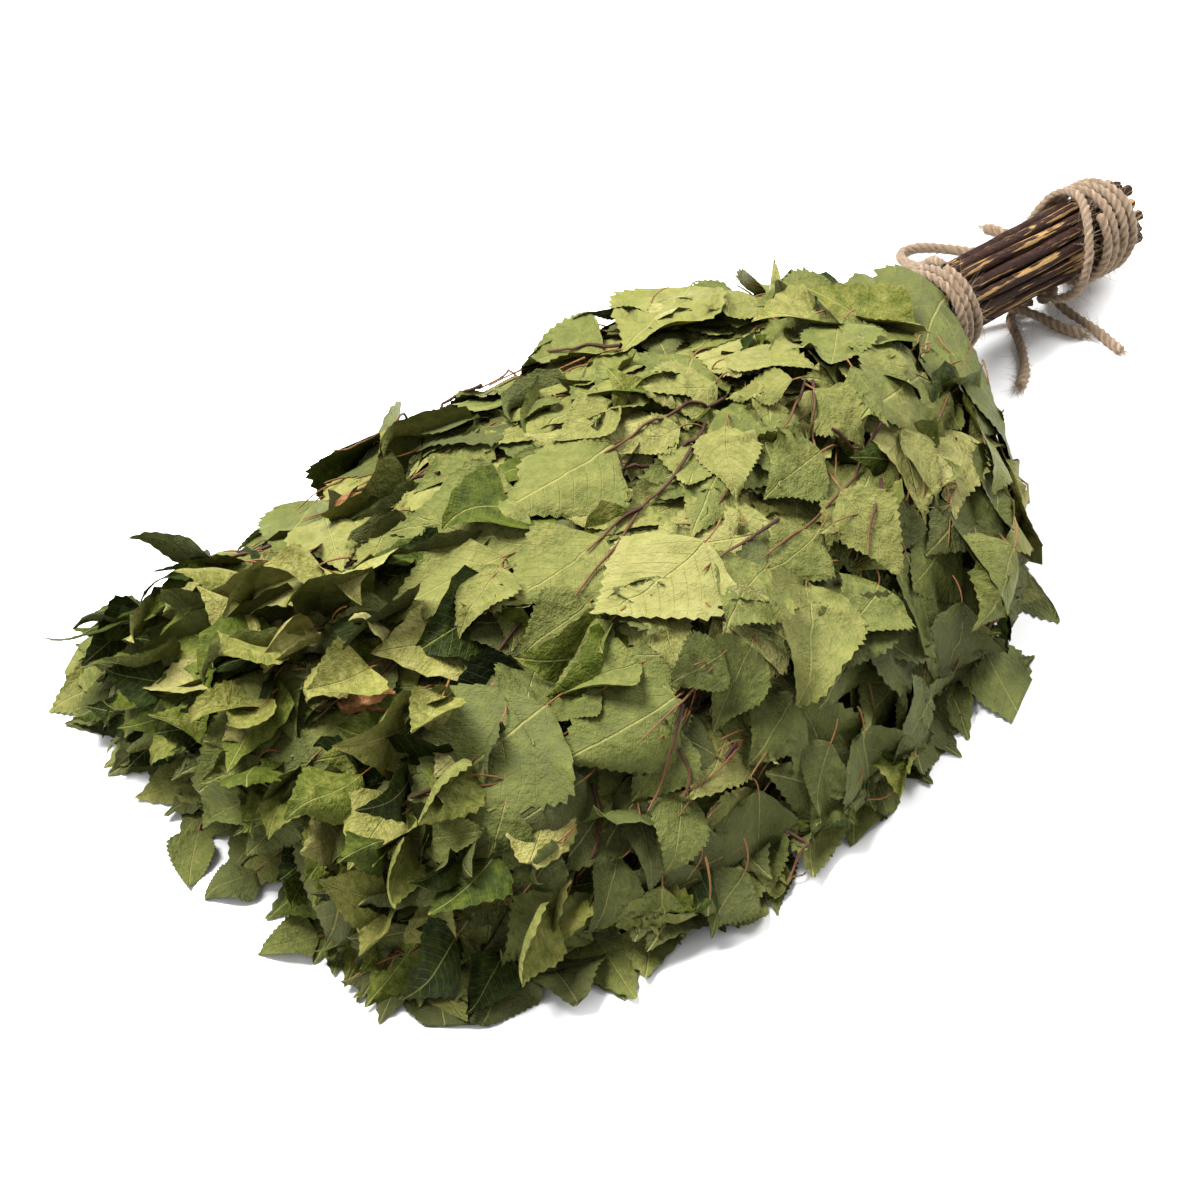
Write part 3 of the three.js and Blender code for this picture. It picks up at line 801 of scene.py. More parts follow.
def stem_part(name, material):
    """A stem: slightly crooked, with swellings and a rough, slanted cut end."""
    first, last, radius = stem_ends(name)
    ahead = unit(last - first)
    share = np.linspace(0.0, 1.0, STEM_RINGS)
    angle = np.linspace(0.0, 2 * np.pi, STEM_SIDES, endpoint=False)
    path, phase = crooked_line(first, last, share)
    outline = stem_outline(share, angle, phase)
    path = np.concatenate([path, path[-1] + ahead * CUT_REACH[:, None]])
    outline = np.concatenate([outline, outline[-1] * CUT_WIDTH[:, None]])
    vertices = tube(path, radius * outline, STEM_SIDES)
    slant = random.normal(0.0, CUT_SLANT, 2)
    cut = vertices[(STEM_RINGS - CUT_RINGS_MOVED) * STEM_SIDES:]
    offset = (cut - last)[:, 1:] @ slant + random.normal(0.0, CUT_ROUGHNESS, len(cut))
    cut += ahead * np.clip(offset, *CUT_LIMITS)[:, None]
    total = len(path)
    along = np.append(share, np.ones(len(CUT_REACH))) * np.linalg.norm(last - first)
    return part(vertices, grid_quads(total, STEM_SIDES), material, {
        "stem_along": np.repeat(along, STEM_SIDES),
        "stem_turn": np.tile(np.cos(angle), total),
        "stem_cut": np.repeat(np.arange(total) >= STEM_RINGS, STEM_SIDES),
        "stem_seed": np.full(total * STEM_SIDES, random.random()),
    })


def add_stems():
    bark = bark_material()
    for name in sorted(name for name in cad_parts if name.startswith("stem_")):
        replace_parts(add_piece(name + "_bark", [stem_part(name, bark)]), name)


def crown_at(x):
    """Half width, height, base and middle of the crown's section at each x."""
    tables = (SECTION_HALF_WIDTH, SECTION_HEIGHT, SECTION_BASE, SECTION_MIDDLE)
    return [np.interp(x, SECTION_X, table) for table in tables]


def crown_point(x, angle, scale):
    """A point in the crown: angle from +Y over the top to -Y, scale 1 at the surface and 0 in the middle."""
    half_width, height, base, middle = crown_at(x)
    level = 0.38
    y = half_width * np.sign(np.cos(angle)) * np.abs(np.cos(angle)) ** SECTION_WIDTH_POWER
    z = height * (np.sin(angle).clip(0.0) ** SECTION_HEIGHT_POWER - level)
    return np.stack([x, middle + scale * y, base + height * level + scale * z], axis=-1)


def leaf_teeth(along):
    """How far the edge stands out at each row: a tooth on every other row, a larger one on every sixth."""
    number = np.arange(len(along))
    tooth = np.where(number % 2 == 1, 1.0, -1.0) * smooth_step(0.08, 0.22, along) * (1.15 - along)
    return tooth * np.where(number % 6 == 3, 1.7, 1.0)


def rolled_blades(pick, along, columns, flat_width, edge_width):
    """Across the blades: each half leaves the midrib at an angle and rolls towards its edge."""
    fold = pick(-0.10, 0.30, -0.4, 0.9)
    across = np.zeros((*flat_width.shape, len(columns)))
    height = np.zeros_like(across)
    flat_across = np.zeros_like(across)
    for way in (-1.0, 1.0):
        roll = pick(-0.7, 0.8, -1.8, 3.0)
        roll_change = pick(-0.6, 0.6, -1.4, 1.4)
        waves = pick(0.06, 0.32) * np.sin(pick(5.0, 13.0) * along[None, :] + pick(0.0, 6.3))
        y = np.zeros_like(flat_width)
        z = np.zeros_like(flat_width)
        last_reach = 0.0
        own_columns = np.flatnonzero(np.sign(columns) == way)
        for column in sorted(own_columns, key=lambda index: abs(columns[index])):
            reach = abs(columns[column])
            middle = 0.5 * (reach + last_reach)
            turn = fold + (roll + roll_change * along[None, :]) * middle ** 1.5 + waves * middle
            width = edge_width if reach == 1.0 else flat_width * reach
            y = y + (width - flat_width * last_reach) * np.cos(turn)
            z = z + (width - flat_width * last_reach) * np.sin(turn)
            across[:, :, column] = way * y
            height[:, :, column] = z
            flat_across[:, :, column] = way * width
            last_reach = reach
    return across, height, flat_across


def bent_blades(pick, along, columns, tooth, across, height):
    """Along the blades: they bend, their tips curl, and they twist and sway a little."""
    bend = pick(-0.6, 0.5, -1.7, 1.4)
    tip_curl = pick(-1.2, 1.0, -2.2, 1.7)
    slope = bend * along[None, :] + tip_curl * smooth_step(0.5, 1.0, along)[None, :] ** 1.5
    step = 1.0 / (len(along) - 1)
    mid_x = np.cumsum(np.cos(slope), axis=1) * step - step
    mid_z = np.cumsum(np.sin(slope), axis=1) * step
    twist = (pick(-0.4, 0.4, -1.1, 1.1) * (along[None, :] - 0.4))[:, :, None]
    ripple = pick(0.002, 0.009, 0.0, 0.02) * np.sin(pick(8, 20) * along[None, :] + pick(0, 6.3))
    height = height + ripple[:, :, None] * np.sin(pick(3, 7)[:, :, None] * columns[None, None, :])
    turned_y = across * np.cos(twist) - height * np.sin(twist)
    turned_z = across * np.sin(twist) + height * np.cos(twist)
    lean = np.zeros((len(along), len(columns)))
    lean[:, np.abs(columns) == 1.0] = (TOOTH_LEAN * (tooth > 0) * (along < 0.97))[:, None]
    x = mid_x[:, :, None] - turned_z * np.sin(slope)[:, :, None] + lean[None]
    y = turned_y + pick(-0.22, 0.22)[:, :, None] * x * x
    z = mid_z[:, :, None] + turned_z * np.cos(slope)[:, :, None]
    return x, y, z


def leaf_shapes(crumple, length, rows=LEAF_ROWS, columns=LEAF_COLUMNS):
    """Leaves along +X from their stalk, top side up: their points, and where each is in the flat leaf."""
    count = len(length)

    def pick(low, high, crumple_low=0.0, crumple_high=0.0):
        """A chance value for each leaf, with a further range for crumpled leaves."""
        extra = random.uniform(crumple_low, crumple_high, count) * crumple
        return (random.uniform(low, high, count) + extra)[:, None]

    along = np.linspace(0.0, 1.0, rows)
    tooth = leaf_teeth(along)
    flat_width = pick(0.35, 0.44) * np.interp(along, OUTLINE_ALONG, OUTLINE_WIDTH)[None, :]
    edge_width = flat_width + TOOTH_HEIGHT * tooth[None, :] * random.uniform(0.6, 1.4, (count, rows))
    edge_width = np.maximum(edge_width, 0.004)
    across, height, flat_across = rolled_blades(pick, along, columns, flat_width, edge_width)
    x, y, z = bent_blades(pick, along, columns, tooth, across, height)

    # The foot and the tip of each leaf come to one level.
    middle = len(columns) // 2
    tilt = np.arctan2(z[:, -1, middle], x[:, -1, middle])[:, None, None]
    points = np.stack([x * np.cos(tilt) + z * np.sin(tilt), y, z * np.cos(tilt) - x * np.sin(tilt)], axis=-1)
    flat = np.stack([np.broadcast_to(along[None, :, None], x.shape), flat_across], axis=-1)
    return points * length[:, None, None, None], flat


def turn_over(shapes, turned):
    """Turns some of the leaves to show their underside."""
    shapes[turned] *= np.array([1.0, -1.0, -1.0])


def leaf_faces(rows, columns):
    """Quads of one closed leaf, those of its top side first, and which of its points are on its rim."""
    top = np.arange(rows * columns).reshape(rows, columns)
    low = top.copy()
    inner = np.arange((rows - 2) * (columns - 2)).reshape(rows - 2, columns - 2)
    low[1:-1, 1:-1] = rows * columns + inner
    top_quads = np.stack([top[:-1, :-1], top[1:, :-1], top[1:, 1:], top[:-1, 1:]], axis=-1).reshape(-1, 4)
    low_quads = np.stack([low[:-1, :-1], low[:-1, 1:], low[1:, 1:], low[1:, :-1]], axis=-1).reshape(-1, 4)
    rim = np.ones(top.size + inner.size, bool)
    rim[top[1:-1, 1:-1]] = False
    rim[low[1:-1, 1:-1]] = False
    return np.concatenate([top_quads, low_quads]), rim


class Sheet:
    """A surface on a grid, with the height of the leaves that lie on it so far."""

    def __init__(self, points):
        self.points = points
        normal = np.cross(np.gradient(points, axis=1), np.gradient(points, axis=0))
        self.normals = unit(normal)
        self.widths = np.linalg.norm(np.diff(points, axis=1), axis=2).sum(axis=1)
        steps = np.linalg.norm(np.diff(points, axis=0), axis=2)
        self.lengths = np.concatenate([np.zeros((1, points.shape[1])), np.cumsum(steps, axis=0)])
        self.top = np.zeros(points.shape[:2])

    @classmethod
    def table(cls):
        """The table under the whisk."""
        x, share = np.meshgrid(SHEET_X, SHEET_SHARE, indexing="ij")
        y = TABLE_Y[0] + (TABLE_Y[1] - TABLE_Y[0]) * share
        return cls(np.stack([x, y, np.full_like(x, TABLE_GAP)], axis=-1))

    @classmethod
    def crown(cls):
        """The crown's surface, some way inside the tips of its leaves."""
        rows = []
        angle = np.linspace(0.0, np.pi, 160)
        for x in SHEET_X:
            depth = np.interp(x, NECK_SKIN_X, [SKIN_DEPTH, NECK_SKIN_DEPTH])
            half_width, height, base, middle = crown_at(x)
            half_width, height = half_width - depth, height - depth
            y = half_width * np.sign(np.cos(angle)) * np.abs(np.cos(angle)) ** SECTION_WIDTH_POWER
            z = base + height * np.sin(angle).clip(0.0) ** SECTION_HEIGHT_POWER
            skirt_y, skirt_z = cls.skirt(x, half_width, base)
            dome = z > skirt_z.max() + 1e-4
            line_y = np.concatenate([skirt_y, y[dome], -skirt_y[::-1]])
            line_z = np.concatenate([skirt_z, z[dome], skirt_z[::-1]])
            far = np.concatenate([[0.0], np.cumsum(np.hypot(np.diff(line_y), np.diff(line_z)))])
            even = SHEET_SHARE * far[-1]
            across = middle + np.interp(even, far, line_y)
            rows.append(np.stack([np.full_like(even, x), across, np.interp(even, far, line_z)], axis=-1))
        return cls(np.array(rows))

    @staticmethod
    def skirt(x, half_width, base):
        """The foot of the surface, from its outer edge to where the dome starts."""
        tuck = smooth_step(*TUCK_X, x) * TUCK_ANGLE
        out = np.linspace(SKIRT_REACH, 0.0, 10)
        corner = np.linspace(0.0, 0.5 * np.pi, 8)[1:]
        away_y = np.concatenate([SKIRT_CURVE + out, SKIRT_CURVE * (1.0 - np.sin(corner))])
        away_z = np.concatenate([np.zeros_like(out), SKIRT_CURVE * (1.0 - np.cos(corner))]) - SKIRT_CURVE
        turned_y = half_width + away_y * np.cos(tuck) + away_z * np.sin(tuck)
        turned_z = base + SKIRT_CURVE - away_y * np.sin(tuck) + away_z * np.cos(tuck)
        return turned_y, turned_z

    def look_up(self, table, x, share):
        """The table's value at each place on the sheet, between the grid's points."""
        row = np.clip((x - SHEET_X[0]) / (SHEET_X[1] - SHEET_X[0]), 0.0, len(SHEET_X) - 1.001)
        column = np.clip(share * (len(SHEET_SHARE) - 1), 0.0, len(SHEET_SHARE) - 1.001)
        i, j = row.astype(int), column.astype(int)
        p, q = row - i, column - j
        if table.ndim == 3:
            p, q = p[..., None], q[..., None]
        near = table[i, j] * (1 - q) + table[i, j + 1] * q
        far = table[i + 1, j] * (1 - q) + table[i + 1, j + 1] * q
        return near * (1 - p) + far * p

    def lift(self, x, share, height):
        """Points of the sheet raised by height, in the model's own frame."""
        base = self.look_up(self.points, x, share)
        return base + unit(self.look_up(self.normals, x, share)) * height[..., None]

    def seen_at(self, pixel):
        """The place on the sheet and its leaves that the camera sees at a pixel of the photograph."""
        pixels, depth = photo_pixels(self.points + self.normals * self.top[..., None])
        miss = np.linalg.norm(pixels - np.array(pixel), axis=-1)
        cost = depth + DEPTH_PER_PIXEL_MISSED * np.maximum(miss - PIXEL_TOLERANCE, 0.0)
        row, column = np.unravel_index(np.argmin(cost), depth.shape)
        return SHEET_X[row], SHEET_SHARE[column]

    def width_at(self, x):
        return np.interp(x, SHEET_X, self.widths)

    def along(self, x, share, distance):
        """The x of places that lie some distance along the sheet from x."""
        lengths = self.lengths[:, int(np.clip(share, 0.0, 1.0) * (self.points.shape[1] - 1))]
        return np.interp(np.interp(x, SHEET_X, lengths) + distance, lengths, SHEET_X)

    def lay(self, local, x, share, heading, tilt=0.0, sink=0.0, drape=0.0):
        """Lays a leaf or twig on those below it. Returns its points in the model's own frame."""
        east = local[..., 0] * math.cos(heading) - local[..., 1] * math.sin(heading)
        north = local[..., 0] * math.sin(heading) + local[..., 1] * math.cos(heading)
        sheet_x = self.along(x, share, east)
        sheet_share = share + north / self.width_at(sheet_x)
        below = self.look_up(self.top, sheet_x, sheet_share)
        plane = np.stack([east.ravel(), north.ravel(), np.ones(east.size)], axis=1)
        slopes = np.linalg.lstsq(plane, below.ravel(), rcond=None)[0][:2]
        slopes = np.clip(slopes, -STEEPEST_REST, STEEPEST_REST)
        height = local[..., 2] + slopes[0] * east + slopes[1] * north + tilt * local[..., 0]
        height = height + np.quantile(below - height, REST_SHARE) - sink
        above = height - below
        height = below + np.where(above < 0.0, SINK_SHARE * above, (1.0 - drape) * above)
        self.cover(sheet_x, sheet_share, height + LEAF_GAP)
        return self.lift(sheet_x, sheet_share, height)

    def cover(self, x, share, height):
        """Raises the sheet's height to that of what now lies on it."""
        x, share, height = (between(values) for values in (x, share, height))
        i = np.rint((x - SHEET_X[0]) / (SHEET_X[1] - SHEET_X[0])).astype(int)
        j = np.rint(share * (len(SHEET_SHARE) - 1)).astype(int)
        inside = (i >= 0) & (i < len(SHEET_X)) & (j >= 0) & (j < len(SHEET_SHARE))
        np.maximum.at(self.top, (i[inside], j[inside]), height[inside])


def between(grid, times=4):
    """A grid of values with more points between its own."""
    rows = np.linspace(0, grid.shape[0] - 1, (grid.shape[0] - 1) * times + 1)
    columns = np.linspace(0, grid.shape[1] - 1, (grid.shape[1] - 1) * times + 1)
    i = np.minimum(rows.astype(int), grid.shape[0] - 2)
    j = np.minimum(columns.astype(int), grid.shape[1] - 2)
    p = (rows - i)[:, None]
    q = (columns - j)[None, :]
    near = grid[i][:, j] * (1 - q) + grid[i][:, j + 1] * q
    far = grid[i + 1][:, j] * (1 - q) + grid[i + 1][:, j + 1] * q
    return near * (1 - p) + far * p


def keep_in(points, limits):
    """Moves leaves that reach too far out back to the limits of the whisk, and flattens them on the table."""
    for axis in range(3):
        low = points[..., axis].min(axis=(1, 2))
        high = points[..., axis].max(axis=(1, 2))
        shift = np.maximum(0.0, limits[0][axis] - low) - np.maximum(0.0, high - limits[1][axis])
        points[..., axis] += shift[:, None, None]
    points[..., 2] = np.maximum(points[..., 2], TABLE_GAP)


class Crown:
    """Leaves, leaf stalks and twigs, shared out to the sprays that they belong to."""

    def __init__(self):
        self.names = sorted(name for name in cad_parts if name.startswith("leaf_spray_"))
        self.parts = {name: [] for name in self.names}
        self.leaf = leaf_material()
        self.twig = twig_material()
        self.middles = np.array([self.section_place(self.belly(node_vertices(name))) for name in self.names])

    @staticmethod
    def belly(points):
        """The middle of a spray's solid, away from its two ends."""
        return points[(points[:, 0] > -0.26) & (points[:, 0] < 0.06)].mean(axis=0)

    @staticmethod
    def section_place(points):
        """Places in the crown's section, as shares of its width and height."""
        half_width, height, base, middle = crown_at(points[..., 0])
        wide = WIDTH_COUNTS * (points[..., 1] - middle) / half_width
        high = (points[..., 2] - base) / height
        return np.stack([wide, high], axis=-1)

    def nearest(self, points):
        places = self.section_place(points)
        return np.argmin(np.linalg.norm(places[:, None] - self.middles[None], axis=2), axis=1)

    def add_leaves(self, points, flat, turned, tone, age, limits=LEAF_LIMITS):
        """Closed thin leaves from their top sheets, each with its stalk."""
        keep_in(points, limits)
        count, rows, columns = points.shape[:3]
        normal = unit(np.cross(np.gradient(points, axis=1), np.gradient(points, axis=2)))
        inner = points[:, 1:-1, 1:-1] - LEAF_THICKNESS * normal[:, 1:-1, 1:-1]
        vertices = np.concatenate([points.reshape(count, -1, 3), inner.reshape(count, -1, 3)], axis=1)
        inner_flat = flat[:, 1:-1, 1:-1]
        place = np.concatenate([flat.reshape(count, -1, 2), inner_flat.reshape(count, -1, 2)], axis=1)
        quads, rim = leaf_faces(rows, columns)
        below = np.repeat([0.0, 1.0], len(quads) // 2)
        seed = random.random(count)
        stalks, stalk_quads = self.stalks(points)
        per_leaf, per_stalk = vertices.shape[1], stalks.shape[1]
        owners = self.nearest(vertices.mean(axis=1))
        for owner, name in enumerate(self.names):
            own = np.flatnonzero(owners == owner)
            if len(own) == 0:
                continue
            self.parts[name].append(part(
                vertices[own].reshape(-1, 3), repeated(quads, len(own), per_leaf), self.leaf,
                {
                    "leaf_along": place[own, :, 0],
                    "leaf_across": place[own, :, 1],
                    "leaf_tone": np.repeat(tone[own], per_leaf),
                    "leaf_age": np.repeat(age[own], per_leaf),
                    "leaf_seed": np.repeat(seed[own], per_leaf),
                },
                {"leaf_under": np.abs(below[None, :] - turned[own, None])},
                np.tile(rim, len(own)),
            ))
            self.parts[name].append(part(
                stalks[own].reshape(-1, 3), repeated(stalk_quads, len(own), per_stalk), self.twig,
                {"twig_thin": np.full(len(own) * per_stalk, STALK_COLOUR)},
            ))

    @staticmethod
    def stalks(points):
        """A thin stalk from the foot of each leaf, bending down into the crown."""
        count = len(points)
        middle = points.shape[2] // 2
        foot = points[:, 0, middle]
        back = unit(foot - points[:, 2, middle])
        heart_x = foot[:, 0] + STALK_AHEAD
        _, height, base, crown_middle = crown_at(heart_x)
        heart_y = 0.6 * crown_middle + 0.4 * foot[:, 1]
        inward = unit(np.stack([heart_x, heart_y, base + 0.3 * height], axis=1) - foot)
        share = np.linspace(-0.08, 1.0, STALK_POINTS)[None, :, None]
        reach = random.uniform(0.7, 1.25, count)[:, None, None] * STALK_LENGTH
        sway = random.normal(0.0, 0.16, (count, 1, 3))
        straight = back[:, None] * share * (1 - 0.3 * share)
        bent = (inward[:, None] * 0.55 + sway) * share * np.abs(share)
        path = foot[:, None] + reach * (straight + bent)
        path[..., 1] = np.clip(path[..., 1], SEEN_LIMITS[0][1], SEEN_LIMITS[1][1])
        path[..., 2] = np.maximum(path[..., 2], 2 * TABLE_GAP)
        across = unit(np.cross(back, inward))[:, None, None]
        other = unit(np.cross(across[:, 0, 0], back))[:, None, None]
        angle = np.linspace(0.0, 2 * np.pi, STALK_SIDES, endpoint=False)[None, None, :, None]
        radius = STALK_RADIUS * (0.75 + 0.5 * np.abs(share))[..., None]
        rings = path[:, :, None] + radius * (across * np.cos(angle) + other * np.sin(angle))
        return rings.reshape(count, -1, 3), grid_quads(STALK_POINTS, STALK_SIDES)

    def add_twig(self, path, thick, thin, owner=None, sides=7):
        """A tapering shoot along a path."""
        if owner is None:
            owner = self.names[self.nearest(path[len(path) // 2][None])[0]]
        share = np.linspace(0.0, 1.0, len(path))
        path[:, 1] = np.clip(path[:, 1], SEEN_LIMITS[0][1], SEEN_LIMITS[1][1])
        path[:, 2] = np.clip(path[:, 2], thick, SEEN_LIMITS[1][2])
        radius = thick + (thin - thick) * share
        radius[-1] = 0.3 * thin
        colour = smooth_step(*STALK_COLOUR_RADIUS, radius) * THIN_TWIG_COLOUR
        vertices = tube(path, radius, sides)
        values = {"twig_thin": np.repeat(colour, sides)}
        self.parts[owner].append(part(vertices, grid_quads(len(path), sides), self.twig, values))

    def finish(self):
        for name in self.names:
            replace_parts(add_piece(name + "_leaves", self.parts[name]), name)


def lit_leaf_tones(points, spread=0.26):
    """Painted light and shade: paler on top of the whisk and near its neck, where light falls, greener and
    darker low down and at its tips, around a tone that differs at random from leaf to leaf.
    """
    middle = points.mean(axis=(1, 2))
    # Painted light: leaves high on the crown and near the neck get a higher tone, and those low down and at
    # the tips a lower one.
    level = smooth_step(0.03, 0.10, middle[:, 2]) * smooth_step(-0.37, -0.28, middle[:, 0])
    level = np.maximum(level, 1.3 * smooth_step(-0.03, 0.06, middle[:, 0]))
    return (0.29 + 0.25 * level + random.normal(0.0, spread, len(points))).clip(0.06, 0.95)


def leaf_ages(count):
    """How far each leaf has browned: some in small blotches, most not at all, a share of them all over."""
    age = random.uniform(0.0, 0.34, count)
    return np.where(random.random(count) < BROWN_SHARE, random.uniform(0.5, 0.9, count), age)


def crumpled(count, share, low=0.35, high=1.0):
    """How crumpled each leaf is: a share of them much, the rest a little."""
    much = random.uniform(low, high, count)
    return np.where(random.random(count) < share, much, random.uniform(0.0, 0.18, count))


def skin_spots(sheet):
    """Places for leaves over the whole crown, in the order in which they are laid: tips first, neck last."""
    spots = []
    for x in np.arange(-0.292, 0.110, SPOT_STEP):
        across = max(6, int(sheet.width_at(x) / SPOT_WIDTH))
        share = (np.arange(across) + random.random(across)) / across
        low, high = SPOT_SHARES
        spots += [(x + random.uniform(-0.009, 0.009), one) for one in share if low < one < high]
    return sorted(spots, key=lambda spot: spot[0] + random.uniform(-0.06, 0.06))


def droop(share):
    """The way that leaves hang: along the whisk on top, and turned down its sides."""
    return np.pi - np.sign(share - 0.5) * np.abs(2.0 * share - 1.0) ** 1.4 * DROOP_ANGLE


def lay_skin(crown, sheet):
    """The leaves and twigs that show, laid over each other from the tips of the whisk to its neck."""
    spots = skin_spots(sheet)
    count = len(spots)
    x, share = np.array(spots).T
    flatter = smooth_step(0.50, 0.36, share)
    crumple = crumpled(count, SKIN_CRUMPLED) * (1.0 - 0.6 * flatter)
    length = random.normal(SKIN_LENGTH, SKIN_LENGTH_SPREAD, count).clip(*SKIN_LENGTH_LIMITS)
    length = length + NECK_EXTRA_LENGTH * smooth_step(-0.25, 0.1, x)
    shapes, flat = leaf_shapes(crumple, length * (1.0 - 0.25 * crumple))
    heading = droop(share) + random.normal(0.0, SKIN_HEADING_SPREAD, count)
    heading = np.where(random.random(count) < SKIN_ASTRAY, random.uniform(0, 2 * np.pi, count), heading)
    turned = random.random(count) < SKIN_TURNED
    turn_over(shapes, turned)
    raised = random.random(count) < SKIN_RAISED * (1.0 - flatter)
    tilt = np.where(raised, random.uniform(0.10, 0.42, count), random.uniform(-0.04, 0.05, count))
    twig_after = set(np.linspace(0.10 * count, 0.97 * count, SKIN_TWIGS).astype(int))
    placed = np.zeros_like(shapes)
    for leaf in range(count):
        placed[leaf] = sheet.lay(shapes[leaf], x[leaf], share[leaf], heading[leaf], tilt[leaf],
                                 sink=random.uniform(0.0004, 0.0020),
                                 drape=random.uniform(0.0, 0.25) + 0.3 * flatter[leaf])
        if leaf in twig_after:
            lay_twig(crown, sheet, x[leaf], share[leaf])
    crown.add_leaves(placed, flat, turned, lit_leaf_tones(placed), leaf_ages(count))
    lay_seen(crown, sheet, SEEN_LEAVES)
    lay_seen_shoots(crown, sheet)


def lay_seen(crown, sheet, leaves):
    """The leaves that stand out in the photograph, each laid where it is seen."""
    looks = [LEAF_LOOKS[kind] for kind, _, _ in leaves]
    tone, age, turned, crumple = (np.array([look[key] for look in looks]) for key in LOOK_KEYS)
    shapes, flat = leaf_shapes(crumple, np.ones(len(leaves)))
    turn_over(shapes, turned)
    zero = np.array(0.0)
    for index, (_, foot, tip) in enumerate(leaves):
        x, share = sheet.seen_at(foot)
        tip_x, tip_share = sheet.seen_at(tip)
        north = (tip_share - share) * sheet.width_at(tip_x)
        way = sheet.lift(tip_x, share, zero) - sheet.lift(x, share, zero)
        east = np.linalg.norm(way) * np.sign(tip_x - x)
        length = np.clip(SEEN_STRETCH * math.hypot(east, north), *SEEN_LENGTH_LIMITS)
        shapes[index] = sheet.lay(shapes[index] * length, x, share, math.atan2(north, east),
                                  sink=0.0006, drape=0.10)
    tone = tone + random.normal(0.0, 0.04, len(leaves))
    crown.add_leaves(shapes, flat, turned, tone, age, limits=SEEN_LIMITS)


def lay_seen_shoots(crown, sheet):
    """The shoots that stand out in the photograph, over the leaves that they pass."""
    thick, thin = SEEN_SHOOT_THICKNESS
    for pixels in SEEN_SHOOTS:
        places = np.array([(*sheet.seen_at(pixel), 0.0) for pixel in pixels])
        route = smooth_path(places, 10)
        height = sheet.look_up(sheet.top, route[:, 0], route[:, 1])
        window = np.ones(9) / 9
        height = np.convolve(np.pad(height, 4, mode="edge"), window, mode="valid")
        crown.add_twig(sheet.lift(route[:, 0], route[:, 1], height + 0.9 * thick), thick, thin)


def twig_line(length, bend, count=26):
    """A bent line along +X, as a strip one twig wide so that it can be laid as a leaf is."""
    share = np.linspace(0.0, 1.0, count)
    line = np.stack([length * share, length * bend * share ** 2, np.zeros(count)], axis=-1)
    return np.stack([line, line + np.array([0.0, 0.0006, 0.0])], axis=1)


def lay_twig(crown, sheet, x, share):
    """One shoot on the leaves laid so far, with its forks."""
    thick = random.uniform(0.0006, 0.0011)
    length = random.uniform(0.05, 0.12)
    start = min(x + 0.6 * length, 0.105)
    share = min(max(share, 0.22), 0.78)
    heading = droop(share) + random.normal(0.0, math.radians(16))
    path = sheet.lay(twig_line(length, random.normal(0.0, 0.10)), start, share, heading,
                     sink=0.0015, drape=0.6).mean(axis=1)
    path = path + np.array([0.0, 0.0, 0.6 * thick])
    crown.add_twig(path, thick, 0.45 * thick)
    for fork in range(random.integers(3, 6)):
        row = random.integers(4, 23)
        ahead = unit(path[row + 2] - path[row - 2])
        out = unit(np.cross(ahead, path[row] - np.array([path[row][0], -0.02, 0.03])))
        side = out if fork % 2 else -out
        reach = random.uniform(0.012, 0.034)
        step = np.linspace(0.0, 1.0, 8)[:, None]
        down = np.array([0.0, 0.0, -random.uniform(0.0, 0.004)])
        branch = path[row] + reach * step * ahead + 0.55 * reach * step ** 0.8 * side + down * step ** 2
        crown.add_twig(branch, 0.5 * thick, 0.0004, sides=5)


def strewn(local, base, ahead, up):
    """Leaves that start at base, point ahead and have their top side towards up."""
    ahead = unit(ahead)
    side = unit(np.cross(up, ahead))
    axes = np.stack([ahead, side, np.cross(ahead, side)], axis=1)
    return base[:, None, None] + np.einsum("nrck,nkd->nrcd", local, axes)


def add_fill(crown):
    """Leaves inside the crown, which close the gaps between those on its surface, their tone lowered as
    painted shade in those gaps.
    """
    x = random.uniform(-0.285, 0.098, FILL_LEAVES)
    angle = random.uniform(0.04, np.pi - 0.04, FILL_LEAVES)
    scale = random.uniform(0.52, 0.72, FILL_LEAVES)
    base = crown_point(x, angle, scale)
    outward = unit(crown_point(x, angle, scale + 0.1) - base)
    ahead = np.array([-1.0, 0.0, 0.0]) + random.normal(0.0, 0.45, (FILL_LEAVES, 3)) - 0.2 * outward
    up = outward + random.normal(0.0, 0.25, (FILL_LEAVES, 3))
    crumple = crumpled(FILL_LEAVES, 0.15)
    length = random.uniform(0.042, 0.062, FILL_LEAVES)
    shapes, flat = leaf_shapes(crumple, length, SMALL_LEAF_ROWS, SMALL_LEAF_COLUMNS)
    points = strewn(shapes, base, ahead, up)
    turned = np.zeros(FILL_LEAVES)
    # Painted shade: the tone of the inner leaves is lowered by 0.15, so that the gaps between the surface
    # leaves look dark.
    crown.add_leaves(points, flat, turned, lit_leaf_tones(points) - 0.15, leaf_ages(FILL_LEAVES))


